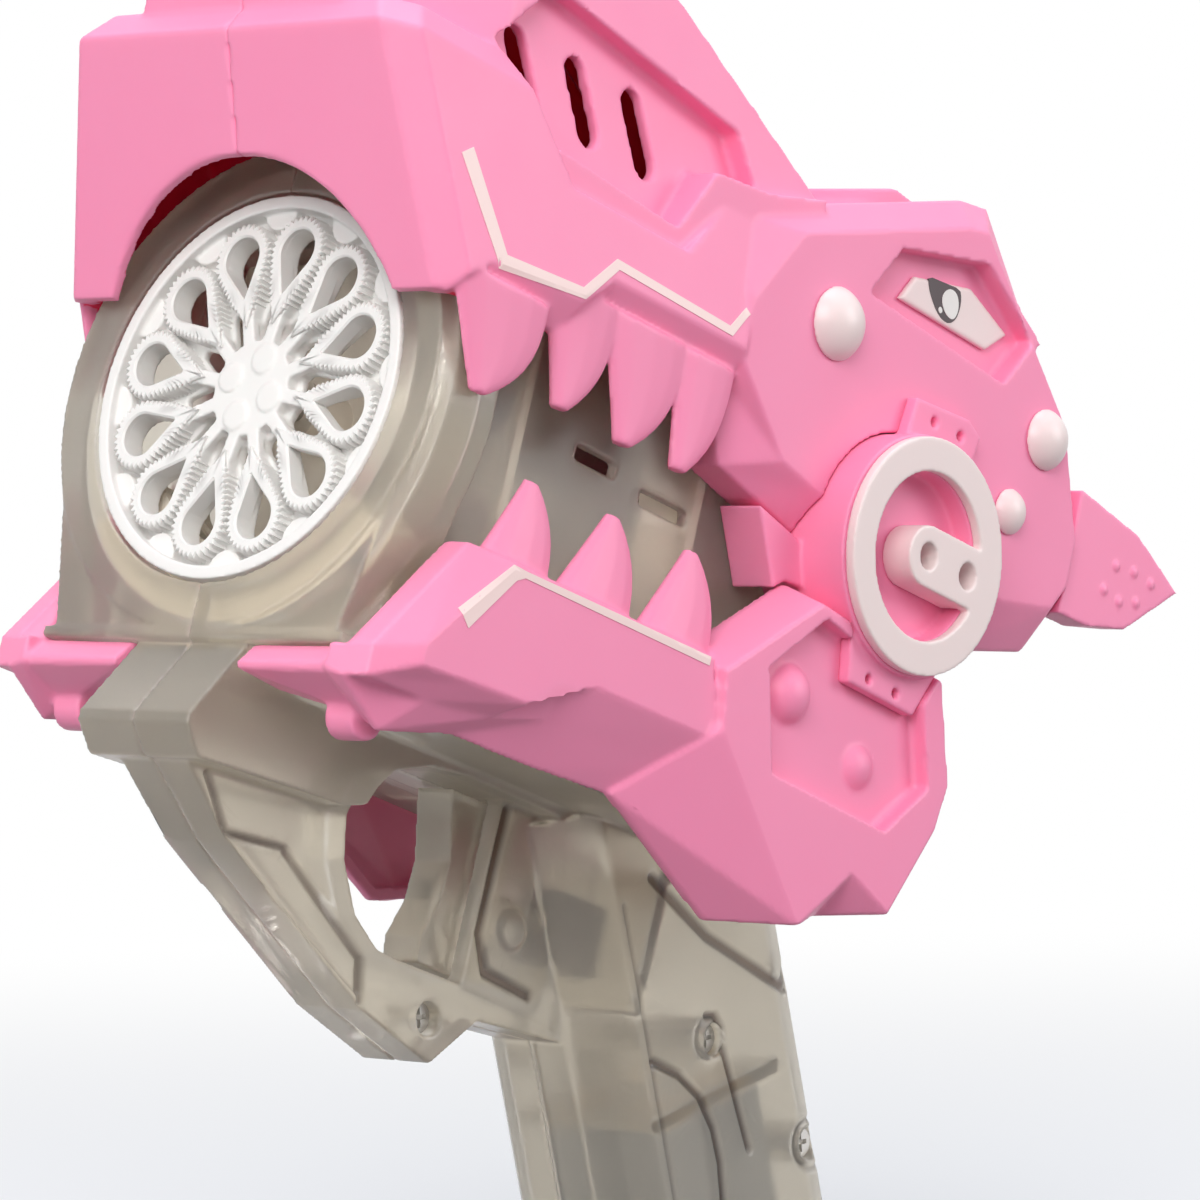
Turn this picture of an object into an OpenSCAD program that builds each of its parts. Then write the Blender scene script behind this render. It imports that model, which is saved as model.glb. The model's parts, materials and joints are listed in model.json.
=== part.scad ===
// Toy bubble blower shaped like a dinosaur head, standing on the flat base of its grip.
// Barrel frame, used by nearly every module: x runs rearward along the barrel, y to the toy's right,
// z up across the barrel, with the origin at the centre of the bubble wheel's front face.
// stand() tips that frame muzzle-up and puts the middle of the grip's base at the part's origin.

/* [Stance] */
// Muzzle-up pitch of the barrel when the grip stands on its base
pitch = 20; // [17:0.5:23]
// Height of the wheel's centre above the base
wheel_height = 180; // [176:1:190]

/* [Bubble wheel] */
// Diameter of the bubble wheel
wheel_d = 64; // [60:1:66]
// Depth of the wheel's rim
wheel_t = 5; // [4:0.5:6]
// Width of the wheel's rim
rim_w = 2.2; // [1.6:0.2:3]
// Number of bubble loops
loop_count = 12; // [9:1:13]
// Width of one loop
loop_w = 11; // [8:0.2:11.4]
// Thickness of a loop's wire
loop_wire = 1.9; // [1.2:0.1:2.2]
// Angle of the first loop
loop_turn = 10; // [0:1:30]
// Diameter of the wheel's hub
hub_d = 16; // [13:1:18]
// Diameter of the wheel's shaft
shaft_d = 4; // [3:0.5:5]

/* [Nozzle and barrel] */
// Width of the ring around the wheel
nozzle_ring = 7.9; // [6:0.1:9]
// Length of the nozzle drum
drum_len = 15; // [13:0.5:18]
// Half width of the barrel box
box_half = 29; // [28:0.5:30]
// Height of the barrel box above the axis
box_top = 30; // [29:0.5:32]
// Depth of the barrel box below the axis
box_low = 46; // [45:0.5:47]
// Rear end of the barrel box
box_end = 128; // [126:0.5:130]
// Wall of the smoky body
body_wall = 2.2; // [1.8:0.1:2.6]

/* [Head] */
// Wall of the pink shells
wall = 2.2; // [1.8:0.1:2.6]
// Half width over the cheeks
cheek_half = 41; // [40:0.5:43]
// Lean of the snout's front face
nose_lean = 25; // [22:1:27]
// Height of the snout's lower edge above the axis
lip_z = 14; // [13:0.5:15]
// Height of the snout's top above the axis
snout_top = 57; // [56:0.5:59]
// Depth of the bevel under the lip
lip_bevel = 5; // [4:0.5:6]
// Depth of the vent panel in the crest
vent_depth = 4; // [3:0.5:5]
// Width of one vent slot
vent_w = 5; // [4:0.5:6]
// Length of one vent slot
vent_len = 15; // [12:0.5:16]
// Depth of the eye socket
eye_depth = 4; // [3:0.5:5]

/* [Jaw] */
// Half width over the jaw
jaw_half = 45; // [44:0.5:46]
// Step of the jaw's rear block past its side panel
jaw_step = 1.5; // [1:0.25:2]
// Level of the jaw's upper edge, below the axis
jaw_level = 22; // [21:0.5:23]

/* [Pivot] */
// Outer diameter of the white pivot ring
ring_d = 40; // [37:0.5:41]
// Width of the white pivot ring
ring_w = 5.8; // [5:0.2:7]
// How far the pink boss stands past the cheek
boss_out = 6; // [5:0.5:7]
// Thickness of the white ring
ring_t = 2; // [1.5:0.25:2.5]

/* [Grip and trigger] */
// Thickness of the grip
grip_t = 34; // [33.5:0.5:37]
// Depth of the grip, front to rear
grip_depth = 54; // [53:0.5:58]
// Rake of the grip from the barrel's normal
rake = 33; // [31:0.5:35]
// Thickness of the trigger guard
guard_t = 15; // [13:0.5:17]
// Thickness of the trigger
trigger_t = 8; // [7:0.5:9]
// Travel of the trigger
trigger_travel = 6; // [4:0.5:7]
// Flare of the grip's foot on each side
foot_flare = 3; // [2:0.5:4]

/* [Drive] */
// Gear module
gear_m = 0.8; // [0.75:0.05:0.85]
// Teeth of each pinion
pinion_teeth = 8; // [8:1:9]
// Teeth of each large gear
wheel_teeth = 40; // [40:1:41]
// Width of a gear's teeth
gear_w = 4; // [3:0.5:5]
// Diameter of the motor
motor_d = 24; // [22:0.5:26]
// Length of the motor
motor_len = 30; // [27:0.5:32]
// Diameter of the fan
fan_d = 44; // [40:1:46]

/* [Bottle socket] */
// Bore of the bottle socket
socket_d = 38.8; // [36:0.2:40]
// Depth of the bottle socket
socket_len = 14; // [12:0.5:16]
// Height of the socket's axis above the barrel's axis
socket_z = 28; // [27:0.5:30]

/* [Batteries] */
// Diameter of one cell
cell_d = 14.5; // [14:0.1:14.6]
// Length of one cell
cell_len = 50; // [48:0.5:50.5]

/* [Fits and fasteners] */
// Gap between parts that move past each other
gap = 0.5; // [0.4:0.05:0.7]
// Gap between parts that are fitted together
fit = 0.2; // [0.1:0.05:0.3]
// Radial clearance of a shaft in its bearing
bearing_gap = 0.05; // [0.03:0.01:0.08]
// Diameter of a screw's shank
screw_d = 2.6; // [2.2:0.1:3]
// Diameter of a screw's head
screw_head_d = 5.2; // [4.6:0.1:5.6]
// Outer diameter of a screw post
post_d = 7; // [6.4:0.2:7.6]

/* [Hidden] */
$fn = 64;

pink = [0.98, 0.58, 0.73];
white = [0.96, 0.94, 0.92];
smoke = [0.55, 0.52, 0.47];
brass = [0.80, 0.66, 0.36];
steel = [0.70, 0.71, 0.73];
dark = [0.16, 0.16, 0.17];
cream = [0.93, 0.90, 0.82];

// Nozzle sizes that follow the wheel
wheel_r = wheel_d / 2;
nozzle_r = wheel_r + gap;
drum_r = nozzle_r + nozzle_ring;
arch_r = wheel_r + 2;
flange_z = -drum_r + 0.3;
flange_t = 1.8;
flange_half = 33;

// Snout sizes that follow the nozzle drum
snout_gap = 1.9;
snout_low_half = drum_r + snout_gap + wall;
snout_draft = 0.176;
mouth_half = snout_low_half - lip_bevel - wall - 0.4;
nose_x = -4;
snout_back = 68;
crest_top = 85;
crest_half = 36.6;
crest_draft = 0.15;
crest_taper = 17.6;

// Pivot and rear places
pivot_at = [115, 9];
boss_r = ring_d / 2 + 0.4;
tab_t = 2.5;
hex_depth = 3.2;
block_y = jaw_half + jaw_step;
boss_y = max(cheek_half + boss_out, block_y - hex_depth + tab_t + fit);
dish_depth = 4;

// Drive places along the barrel
bulkhead_x = drum_len + 5;
plate_t = 2;
out_gear_x = bulkhead_x + plate_t + 1;
pinion_x = out_gear_x + gear_w + 1.5;
rear_plate_x = pinion_x + gear_w + 1;
motor_x = rear_plate_x + plate_t;
fan_x = motor_x + motor_len + 4;
fan_len = 10;
centre_dist = gear_m * (pinion_teeth + wheel_teeth) / 2;
inner_half = box_half - body_wall;

// Grip places: the grip's axis passes grip_mid and runs down and rearward
grip_mid = [132, -86];
grip_dir = [sin(rake), -cos(rake)];
grip_side = [cos(rake), sin(rake)];
function level(p) = -p.x * sin(pitch) + p.y * cos(pitch);
function reach(p) = p.x * cos(pitch) + p.y * sin(pitch);
base_t = (-wheel_height - level(grip_mid)) / level(grip_dir);
foot_x = reach(grip_mid + base_t * grip_dir);
function on_grip(t, u) = grip_mid + t * grip_dir + u * grip_side;

// Cells stand between two shelves above the level floor of the grip
floor_t = 2.5;
shelf_t = 2;
contact_t = 0.5;
door_half = cell_d + 0.9;
door_tab_half = 5.5;
cell_low = base_t - (door_half * level(grip_side) + floor_t) / -level(grip_dir) - shelf_t - contact_t;
cell_top = cell_low - cell_len;
door_screw_t = cell_top - 5;

// Trigger places
trigger_z = -63;
trigger_high = -48.2;
trigger_low = -77.4;
housing_x = 70;
housing_half = guard_t / 2 + 0.5;
wing_x = housing_x + 5;
wing_t = 2;
wing_half = trigger_t / 2 + 1;
plunger_r = 2;
switch_set = 22;
switch_x = housing_x + switch_set;
switch_len = 12;
switch_w = 10;
switch_h = 12;

// Bottle socket and feed tube places
socket_x = 150;
socket_out_r = socket_d / 2 + 2.4;
seal_t = 1.6;
seal_r = socket_d / 2 - 2;
bore_x = socket_x + seal_t + fit;
tube_r = 2.4;
tube_bore_r = 1.5;
tube_low = [98, 16, -32];
tube_high = [116, 0, 20];

// Screw places: x and z in the barrel frame
post_u = door_half + post_d / 2 + 0.6;
grip_posts = [on_grip(-14.8, 0), on_grip(10.6, post_u), on_grip(38, post_u), on_grip(28, -post_u)];
box_posts = [[122, -10], [104, -40]];
guard_screw = [64.5, -86];
head_posts = [[90, 22], [62, box_top - body_wall - screw_head_d / 2 - fit]];
jaw_posts = [[52, -28.5], [92, -38]];
seat_depth = 4;
box_slots = [[47, 57, 4.6], [64, 76, 2.6]];
box_slot_w = 2.6;
screw_reach = 9;
screw_head_t = 1.6;
pilot_end = 0.6;
screw_tip_gap = 2.4;

// Depth at which each post of the outer shells is rooted
head_roots = [cheek_half - wall, mouth_half + 2];
jaw_roots = [jaw_half - wall, jaw_half - wall];
pivot_root = boss_y - dish_depth - 4.2;

// Smallest overlap used where solids are joined or cut through
eps = 0.02;
far = 90;

// Moves every edge of a counter-clockwise outline inward by d.
function inset(p, d) = [
    for (i = [0 : len(p) - 1])
        let (a = p[(i + len(p) - 1) % len(p)], b = p[i], c = p[(i + 1) % len(p)],
             u = (b - a) / norm(b - a), v = (c - b) / norm(c - b),
             n = [-u.y, u.x], m = [-v.y, v.x])
            b + d * (n + m) / (1 + n * m)
];

// Lays an x-z outline in the plane of a given y.
function at_y(p, y) = [for (q = p) [q.x, y, q.y]];

// Solid through rings of equal length, listed so that each ring is counter-clockwise seen from the next.
module loft(rings) {
    n = len(rings[0]);
    m = len(rings);
    sides = [
        for (j = [0 : m - 2], i = [0 : n - 1])
            let (a = j * n + i, b = j * n + (i + 1) % n)
                each [[a, a + n, b + n], [a, b + n, b]]
    ];
    polyhedron(
        points = [for (r = rings) each r],
        faces = concat([[for (i = [0 : n - 1]) i]], [[for (i = [n - 1 : -1 : 0]) (m - 1) * n + i]], sides),
        convexity = 8
    );
}

module stand() translate([-foot_x, 0, wheel_height]) rotate([0, pitch, 0]) children();
module right() mirror([0, 1, 0]) children();

// Extrudes an x-z outline from y0 up to y1.
module side_slab(p, y0, y1) translate([0, y1, 0]) rotate([90, 0, 0]) linear_extrude(y1 - y0) polygon(p);

// Extrudes a y-z outline from x0 to x1.
module cross_slab(p, x0, x1) translate([x0, 0, 0]) rotate([90, 0, 90]) linear_extrude(x1 - x0) polygon(p);

// Cylinder along the barrel from x0 to x1, about the line at y and z.
module rod_x(r, x0, x1, y = 0, z = 0) translate([x0, y, z]) rotate([0, 90, 0]) cylinder(h = x1 - x0, r = r);

// Cylinder across the toy from y0 to y1, about the point p in the x-z plane.
module rod_y(r, y0, y1, p) translate([p.x, y1, p.y]) rotate([90, 0, 0]) cylinder(h = y1 - y0, r = r);

module box(lo, hi) translate(lo) cube(hi - lo);

// Outlines of the head's left half

function nose_at(z) = nose_x - tan(nose_lean) * (z - lip_z);
function snout_half(z) = snout_low_half - snout_draft * (z - lip_z);
function crest_side(z, d) = -(crest_half - d - crest_draft * (z - 44));
snout_chamfer = 5;
snout_shoulder = snout_top - 5;

function snout_ring(z, x, w, d, y0) = [
    for (p = [[x + d, y0], [x + d, -(w - snout_chamfer + 0.4 - d)], [x + snout_chamfer + d, -(w - d)],
              [snout_back, -(w - d)], [snout_back, y0]])
        [p.x, p.y, z]
];
function snout_rings(d, y0) = [
    snout_ring(lip_z - 6, nose_at(lip_z - 6), snout_half(lip_z - 6), d, y0),
    snout_ring(snout_shoulder - d / 2, nose_at(snout_shoulder), snout_half(snout_shoulder), d, y0),
    snout_ring(snout_top - d, nose_at(snout_shoulder) + 3, snout_half(snout_shoulder) - 4, d, y0)
];

lip_low = [[-2, lip_z], [4, lip_z + 1], [25, lip_z + 3], [34, lip_z + 9.6], [snout_back, lip_z + 10]];
lip_high = [[-2, lip_z + 2.4], [4.6, lip_z + 7], [26.8, lip_z + 8.8], [33.8, lip_z + 14.6],
            [snout_back, lip_z + 15]];
under_lip = concat([[-40, -30], [-40, lip_z]], lip_low, [[snout_back, -30]]);
lip_ledge = concat([[-far, -30], [-far, lip_high[0].y]], lip_high, [[far, lip_high[4].y], [far, -30]]);
ledge_low = [[6, snout_top], [22, 40], [51, 40], [59, 50], [80, 58.5], [80, far], [6, far]];
ledge_high = [[16, 34], [84, 34], [84, 61], [70, 57], [56, 55.5], [49.5, 43.5], [18.5, 45.5]];
ledge_set = 3;
ledge_half = cheek_half - ledge_set;
crest_outline = [[-14, 44], [86, 44], [86, 62], [46, crest_top - 3], [34, crest_top], [-24, 68], [-19.6, 57]];
vent_panel = [[10, 47], [18.5, 45.5], [49.5, 43.5], [56, 55.5], [70, 57], [64, 65.5], [20, 71.5], [15, 71],
              [4, 59]];
vent_places = [[14, 57], [29, 57.5], [43.5, 57.5]];
vent_lean = -28;
cheek_base = [[55, 41], [64, 27], [73, 11], [96, 6], [143, 1], [160, 6], [167, 17], [167, 28], [158, 47],
              [127, 75.5], [120, 74.5], [61, 51.5]];
cheek_face = [[68, 38], [66.5, 29], [83, 15], [99, 12], [146, 11], [160, 14], [163, 19], [163, 27], [154, 45],
              [123, 69.5], [118, 68.5], [77, 52.5]];
cheek_bevel = 5;
spine_outline = [[70, 50], [132, 50], [138, 70], [136, 80], [128, 80.5], [92, 67], [80, 62]];
spine_half = 14;
eye_socket = [[96, 49], [135, 46.5], [141, 56], [125, 64.5], [102, 59]];
eye_shape = [[107, 52], [132, 51.5], [137, 56], [125, 60.2], [110, 57]];
eye_plate_t = 1;
stud_places = [[89, 41, 6.4], [149, 41, 5.5], [143, 26, 4.2]];
stud_pin_r = 1.5;
stud_rise = 0.55;

// Upper teeth: root front, root rear, root level, tip x, tip z, inward set, width of the tip
upper_teeth = [[-3.5, 20.5, lip_z + 5, 8.2, 1, 2.8, 3.4], [20.5, 39.4, lip_z + 11, 29.8, 5.8, 5.4, 3.4],
               [35, 57, lip_z + 11, 45.8, 5.2, 5.4, 3.8], [53.6, 68.8, lip_z + 11, 59.9, 5.6, 5.4, 3.6]];
// Lower teeth: root front, root rear, tip x, tip z
lower_teeth = [[17, 34, 26, -7.5], [35, 54.5, 46, -6.5], [55.5, 75, 66, -6]];

// Curved fang: a rounded section that shrinks from the root to the tip and drifts towards it.
module fang(x0, x1, z0, xt, zt, y_mid, root_t, tip_t, tip_w) {
    steps = 8;
    sides = 12;
    function section(k) =
        let (s = k / steps, lo = x0 + (xt - tip_w / 2 - x0) * s,
             hi = x1 + (xt + tip_w / 2 - x1) * pow(s, 3),
             t = root_t + (tip_t - root_t) * s)
            [for (i = [0 : sides - 1])
                let (a = (zt > z0 ? 1 : -1) * 360 * i / sides)
                    [(lo + hi) / 2 + (hi - lo) / 2 * cos(a), y_mid + t / 2 * sin(a), z0 + (zt - z0) * s]];
    loft([for (k = [0 : steps]) section(k)]);
}

module lip_bevels() {
    for (i = [0 : len(lip_low) - 2]) {
        quads = [for (j = [i, i + 1])
            let (u = lip_high[j], l = lip_low[j])
                [[u.x, -snout_half(u.y), u.y], [u.x, -far, u.y], [l.x, -far, l.y - 1],
                 [l.x, -(snout_half(l.y) - lip_bevel), l.y - 1]]];
        loft(quads);
    }
}

module vent_slot(p) {
    run = (vent_len - vent_w) / 2;
    ends = [for (i = [0 : 15]) let (a = 24 * (i % 8) + 6 + (i < 8 ? 0 : 180))
        [vent_w / 2 * cos(a), vent_w / 2 * sin(a) + (i < 8 ? run : -run)]];
    translate([p.x, 0, p.y]) rotate([0, vent_lean, 0]) side_slab(ends, -far, -10);
}

module crest(d, y0) {
    function ring(z) = [[-30, y0, z], [-30, crest_side(z, d) + crest_taper, z], [6, crest_side(z, d), z],
                        [90, crest_side(z, d), z], [90, y0, z]];
    intersection() {
        loft([ring(30), ring(far)]);
        side_slab(inset(crest_outline, d), -far, y0 + eps);
    }
}

module vent_recess(d) {
    intersection() {
        side_slab(inset(vent_panel, -d), -far, 0);
        translate([0, crest_side(44, vent_depth + d), 44]) rotate([-atan(crest_draft), 0, 0])
            box([-far, -far, -far], [far, 0, far]);
    }
}

module cheek(d, y0) {
    loft([at_y(inset(cheek_base, d), y0), at_y(inset(cheek_base, d), -cheek_half + cheek_bevel),
          at_y(inset(cheek_face, d), -cheek_half + d)]);
}

module head_outer() {
    difference() {
        loft(snout_rings(0, 0));
        side_slab(ledge_low, -far, 1);
        side_slab(under_lip, -far, 1);
        lip_bevels();
    }
    difference() {
        union() {
            side_slab(ledge_high, -ledge_half, 0);
            crest(0, 0);
        }
        vent_recess(0);
    }
    cheek(0, 0);
    side_slab(spine_outline, -spine_half, 0);
}

module head_inner() {
    difference() {
        loft(snout_rings(wall, 1));
        translate([0, 0, -1.4 * wall]) side_slab(ledge_low, -far, 2);
        translate([0, 0, wall]) side_slab(lip_ledge, -far, -mouth_half);
    }
    difference() {
        crest(wall, 1);
        vent_recess(wall);
    }
    cheek(wall, 1);
    side_slab(inset(spine_outline, wall), -spine_half + wall, 1);
}

module head_half() {
    difference() {
        union() {
            difference() {
                head_outer();
                head_inner();
            }
            side_slab(inset(eye_socket, -wall), -cheek_half + 1, -cheek_half + eye_depth + wall);
            for (t = upper_teeth)
                fang(t[0], t[1], t[2], t[3], t[4], -snout_half(lip_z) + t[5], 4.4, 2.6, t[6]);
            for (i = [0, 1]) rod_y(post_d / 2, -head_roots[i] - eps, -box_half, head_posts[i]);
        }
        rod_x(arch_r, -far, 3);
        rod_x(drum_r + 1, 0, drum_len + 3);
        box([drum_len, -box_half, -far], [box_end + fit, 1, box_top + fit]);
        rod_y(boss_r + fit, -far, 1, pivot_at);
        side_slab(eye_socket, -far, -cheek_half + eye_depth);
        for (p = vent_places) vent_slot(p);
        for (s = stud_places) rod_y(stud_pin_r + fit / 2, -far, -cheek_half + wall + 1, [s.x, s.y]);
        for (i = [0, 1]) rod_y(screw_d / 2 + bearing_gap, -head_roots[i] + pilot_end, -1, head_posts[i]);
        rod_x(socket_out_r + fit, socket_x - plate_t - fit, far * 3, 0, socket_z);
    }
}

module head_shell_left() color(pink) stand() head_half();
module head_shell_right() color(pink) stand() right() head_half();

// Outlines of the jaw's left half

jaw_bevel = 8;
jaw_inner = jaw_half - jaw_bevel - 0.5;
jaw_face = [[22, -jaw_level], [6.5, -40], [6.5, -43.4], [19, -42.6], [32, -42], [38.5, -35], [74, -34.5],
            [75.5, -32.5], [72, -jaw_level]];
jaw_mid = [[14.5, -jaw_level + 1], [-1, -42.4], [-1, -47.4], [13, -47.2], [28, -45.4], [40.6, -42],
           [71, -41.2], [78, -37], [72, -jaw_level + 1]];
jaw_base = [[14, -jaw_level + 1], [-1.8, -42.6], [-1.8, -47.6], [8, -53.6], [24, -49.4], [43, -49], [62, -48],
            [80, -40], [72, -jaw_level + 1]];
block_face = [[74, -23.5], [76, -33], [104, -58], [126, -50], [134, -33], [135, -25], [128, -9], [94, -6]];
block_base = [[72, -21], [62, -48], [91, -61], [133, -48], [138, -34.5], [138.5, -25], [131, -6], [93, -3]];
hex_recess = [[84, -20], [90, -36], [121, -37], [130, -27], [124, -13], [96, -8]];
hex_bumps = [[93.4, -21.7, 5, 3.2], [114.4, -28, 3.8, 1.8]];
chin_half = 13.2;
tip_top = flange_z - flange_t - fit;

module jaw_block(d, y0) {
    loft([at_y(inset(block_base, d), y0), at_y(inset(block_base, d), -block_y + jaw_bevel + 0.5),
          at_y(inset(block_face, d), -block_y + d)]);
}

module jaw_panel(d, y0, over = 0) {
    loft([at_y(inset(jaw_base, d), y0), at_y(inset(jaw_base, d), -jaw_half + jaw_bevel + d / 2),
          at_y(inset(jaw_mid, d), -jaw_half + jaw_bevel / 2 + d / 2),
          at_y(inset(jaw_face, d), -jaw_half + d - over)]);
}

// Room inside the panel, with one flat outer face
module jaw_room() intersection() {
    jaw_panel(wall, -jaw_inner + 1, 1);
    box([-far, -jaw_half + wall, -far], [2 * far, far, far]);
}

// Bow and toe that close the front of the jaw as far as the chin
bow_y = flange_half + fit;
module jaw_toe() {
    loft([at_y([[1, tip_top], [-2.5, tip_top - 0.2], [-2.5, -46.8], [8, -51.6], [14, -50]], -bow_y),
          at_y([jaw_base[0], jaw_base[1], jaw_base[2], jaw_base[3], [20, -50.4]], -jaw_half + jaw_bevel)]);
    toe_tip = [[1.6, tip_top], [-1.4, tip_top - 3.6], [-1, tip_top - 4.6], [9, tip_top - 5.2], [12, tip_top]];
    toe_root = [[1.2, tip_top], [-2, tip_top - 3.6], [-1.6, tip_top - 5], [9, -51.4], [14, tip_top]];
    loft([at_y(toe_tip, -chin_half - fit), at_y(toe_root, -bow_y - 0.5)]);
    rod_y(peg_r, -bow_y, -bow_y + 6, peg_at);
}
peg_r = 3.6;
peg_at = [9.5, -51.2];

// Sloped facet under the rear block, moved inward by d
module jaw_notch(d) {
    edge = inset([[104, -58], [118, -80], [127, -50], [115, -46]], -d);
    loft([at_y(inset([[110, -70], [118, -80], [124, -64], [115, -60]], -d), -block_y + 12),
          at_y(edge, -block_y + d), at_y(edge, -far)]);
}

// Dome b of the recess: place, radius at its foot and rise
module hex_bump(b) {
    ball_r = (b[2] * b[2] + b[3] * b[3]) / (2 * b[3]);
    translate([b.x, -block_y + hex_depth - b[3] + ball_r, b.y]) sphere(r = ball_r);
}

module jaw_half_shell() {
    difference() {
        union() {
            difference() {
                union() {
                    jaw_panel(0, -jaw_inner);
                    jaw_block(0, -jaw_inner);
                }
                difference() {
                    union() {
                        jaw_room();
                        jaw_block(wall, -jaw_inner + 1);
                    }
                    jaw_notch(wall);
                }
                jaw_notch(0);
            }
            side_slab(inset(hex_recess, -wall), -block_y + 1, -block_y + hex_depth + wall);
            for (t = lower_teeth)
                fang(t[0], t[1], -jaw_level - 1, t[2], t[3], -jaw_half + 4.6, 6.4, 2, 3);
            for (p = jaw_posts) rod_y(post_d / 2, -jaw_half + 1, -box_half, p);
            jaw_toe();
        }
        difference() {
            side_slab(hex_recess, -far, -block_y + hex_depth);
            for (b = hex_bumps) hex_bump(b);
        }
        rod_y(boss_r + fit, -far, 1, pivot_at);
        side_slab(inset(lower_tab, -fit), -far, -block_y + hex_depth);
        for (i = [0, 1]) rod_y(screw_d / 2 + bearing_gap, -jaw_roots[i] + pilot_end, -1, jaw_posts[i]);
    }
}

module jaw_left() color(pink) stand() jaw_half_shell();
module jaw_right() color(pink) stand() right() jaw_half_shell();

// Pivot boss with its two screw tabs, and the white ring that is pressed on it

tongue_half = 5.2;
tongue_holes = [0, 11];
upper_tab = [[109, 24], [127, 24], [129, 34.5], [125, 36.5], [110.5, 35.5]];
lower_tab = [[103, -7], [105, -16], [123, -16.5], [127, -8]];
mouth_corner = [[83, 7.6], [90.6, -4.4], [93.2, -2.4], [104, -1.6], [104, 4.2], [96, 4.9]];
corner_y = min(cheek_half, block_y) - 3;
upper_tab_holes = [[116, 33], [123.5, 33]];
lower_tab_holes = [[110, -14], [117.5, -14.2]];
tab_hole_r = 0.9;

module pivot_boss() {
    difference() {
        union() {
            rod_y(boss_r, -boss_y, -box_half, pivot_at);
            side_slab(mouth_corner, -corner_y, -box_half);
            side_slab(upper_tab, -cheek_half - tab_t, -cheek_half);
            side_slab(lower_tab, -block_y + hex_depth - tab_t, -block_y + hex_depth);
        }
        rod_y(ring_d / 2 - ring_w, -far, -boss_y + dish_depth, pivot_at);
        rod_y(screw_d / 2 + bearing_gap, -pivot_root + pilot_end, -1, pivot_at);
        for (h = upper_tab_holes) rod_y(tab_hole_r, -far, -cheek_half - tab_t / 4, h);
        for (h = lower_tab_holes) rod_y(tab_hole_r, -far, -block_y + hex_depth + 1, h);
    }
}

module tongue_bar() {
    box([pivot_at.x, -far, pivot_at.y - tongue_half], [pivot_at.x + ring_d, 1, pivot_at.y + tongue_half]);
}

module pivot_ring() {
    difference() {
        union() {
            rod_y(ring_d / 2, -boss_y - ring_t, -boss_y, pivot_at);
            rod_y(tongue_half, -boss_y - ring_t, -boss_y + dish_depth, pivot_at);
            intersection() {
                rod_y(ring_d / 2 - ring_w - fit, -boss_y - ring_t, -boss_y + dish_depth, pivot_at);
                tongue_bar();
            }
        }
        difference() {
            rod_y(ring_d / 2 - ring_w, -far, 1, pivot_at);
            tongue_bar();
            rod_y(tongue_half, -far, 1, pivot_at);
        }
        for (h = tongue_holes) rod_y(2.3, -far, 1, pivot_at + [h, 0]);
    }
}

module pivot_boss_left() color(pink) stand() pivot_boss();
module pivot_boss_right() color(pink) stand() right() pivot_boss();
module pivot_ring_left() color(white) stand() pivot_ring();
module pivot_ring_right() color(white) stand() right() pivot_ring();

// White domes pressed into the cheek
module cheek_studs() {
    for (s = stud_places) {
        intersection() {
            translate([s.x, -cheek_half + s[2] * (1 - stud_rise) , s.y]) sphere(r = s[2] * 1.1);
            rod_y(far, -far, -cheek_half, [s.x, s.y]);
        }
        rod_y(stud_pin_r, -cheek_half - 1, -cheek_half + wall, [s.x, s.y]);
    }
}
module cheek_studs_left() color(white) stand() cheek_studs();
module cheek_studs_right() color(white) stand() right() cheek_studs();

module eye() side_slab(eye_shape, -cheek_half + eye_depth - eye_plate_t, -cheek_half + eye_depth);
module eye_left() color(white) stand() eye();
module eye_right() color(white) stand() right() eye();

// Ear fin: a tapered plate that flares out behind the cheek
ear_root = 164;
ear_outline = [[ear_root, 14.5], [172, 14.5], [182, 17], [194, 27.5], [181, 34], [ear_root, 37]];
module ear_fin() {
    function face(lean, y) = [for (p = ear_outline) [p.x, y - lean * (p.x - ear_root), p.y]];
    difference() {
        loft([face(0.05, -cheek_half + 7), face(0.06, -cheek_half + 1.5)]);
        cheek(0, 0);
    }
}
module ear_fin_left() color(pink) stand() ear_fin();
module ear_fin_right() color(pink) stand() right() ear_fin();

// Smoky body: nozzle drum, barrel box, chin, trigger guard and grip

chin_outline = [[2, flange_z - 1], [-7.5, -55.8], [-7.5, -57.6], [-3.5, -62], [30, -60], [35, -58.5],
                [37, -54.6], [39.6, -51.5], [47.5, -48.5], [56, -47.5], [92, -47.5], [92, flange_z - 1]];
guard_outline = [[-4, -58], [-2.5, -61], [12, -71.4], [49, -88.6], [67, -93], [76, -83.5],
                 [112, -80.5], [112, -47], [0, -47]];
finger_hole = [[39, -51], [36, -60], [37.8, -67], [42.8, -74.5], [49.4, -78.5], [54, -78.8],
               [housing_x + 6, -78.8], [housing_x + 6, -47.5], [47, -48]];
housing_outline = [[housing_x, -79], [112, -80.5], [118, -44], [housing_x, -44]];
guard_panel = [[10.1, -70.2], [12.6, -71.2], [25, -77.4], [48, -87.2], [46.5, -80.6], [24, -69.4]];
panel_depth = 1;
grip_section = [[-grip_depth / 2, -8], [-grip_depth / 2 + 9, -grip_t / 2], [grip_depth / 2 - 7, -grip_t / 2],
                [grip_depth / 2, -10], [grip_depth / 2, 0], [-grip_depth / 2, 0]];
grip_top_t = -60;
foot_h = 16;

// Places a shape drawn with depth along x and length along -z on the grip's axis
module on_grip_axis() translate([grip_mid.x, 0, grip_mid.y]) rotate([0, -rake, 0]) children();

// Places a shape drawn in the standing frame
module unstand() rotate([0, -pitch, 0]) translate([foot_x, 0, -wheel_height]) children();

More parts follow.
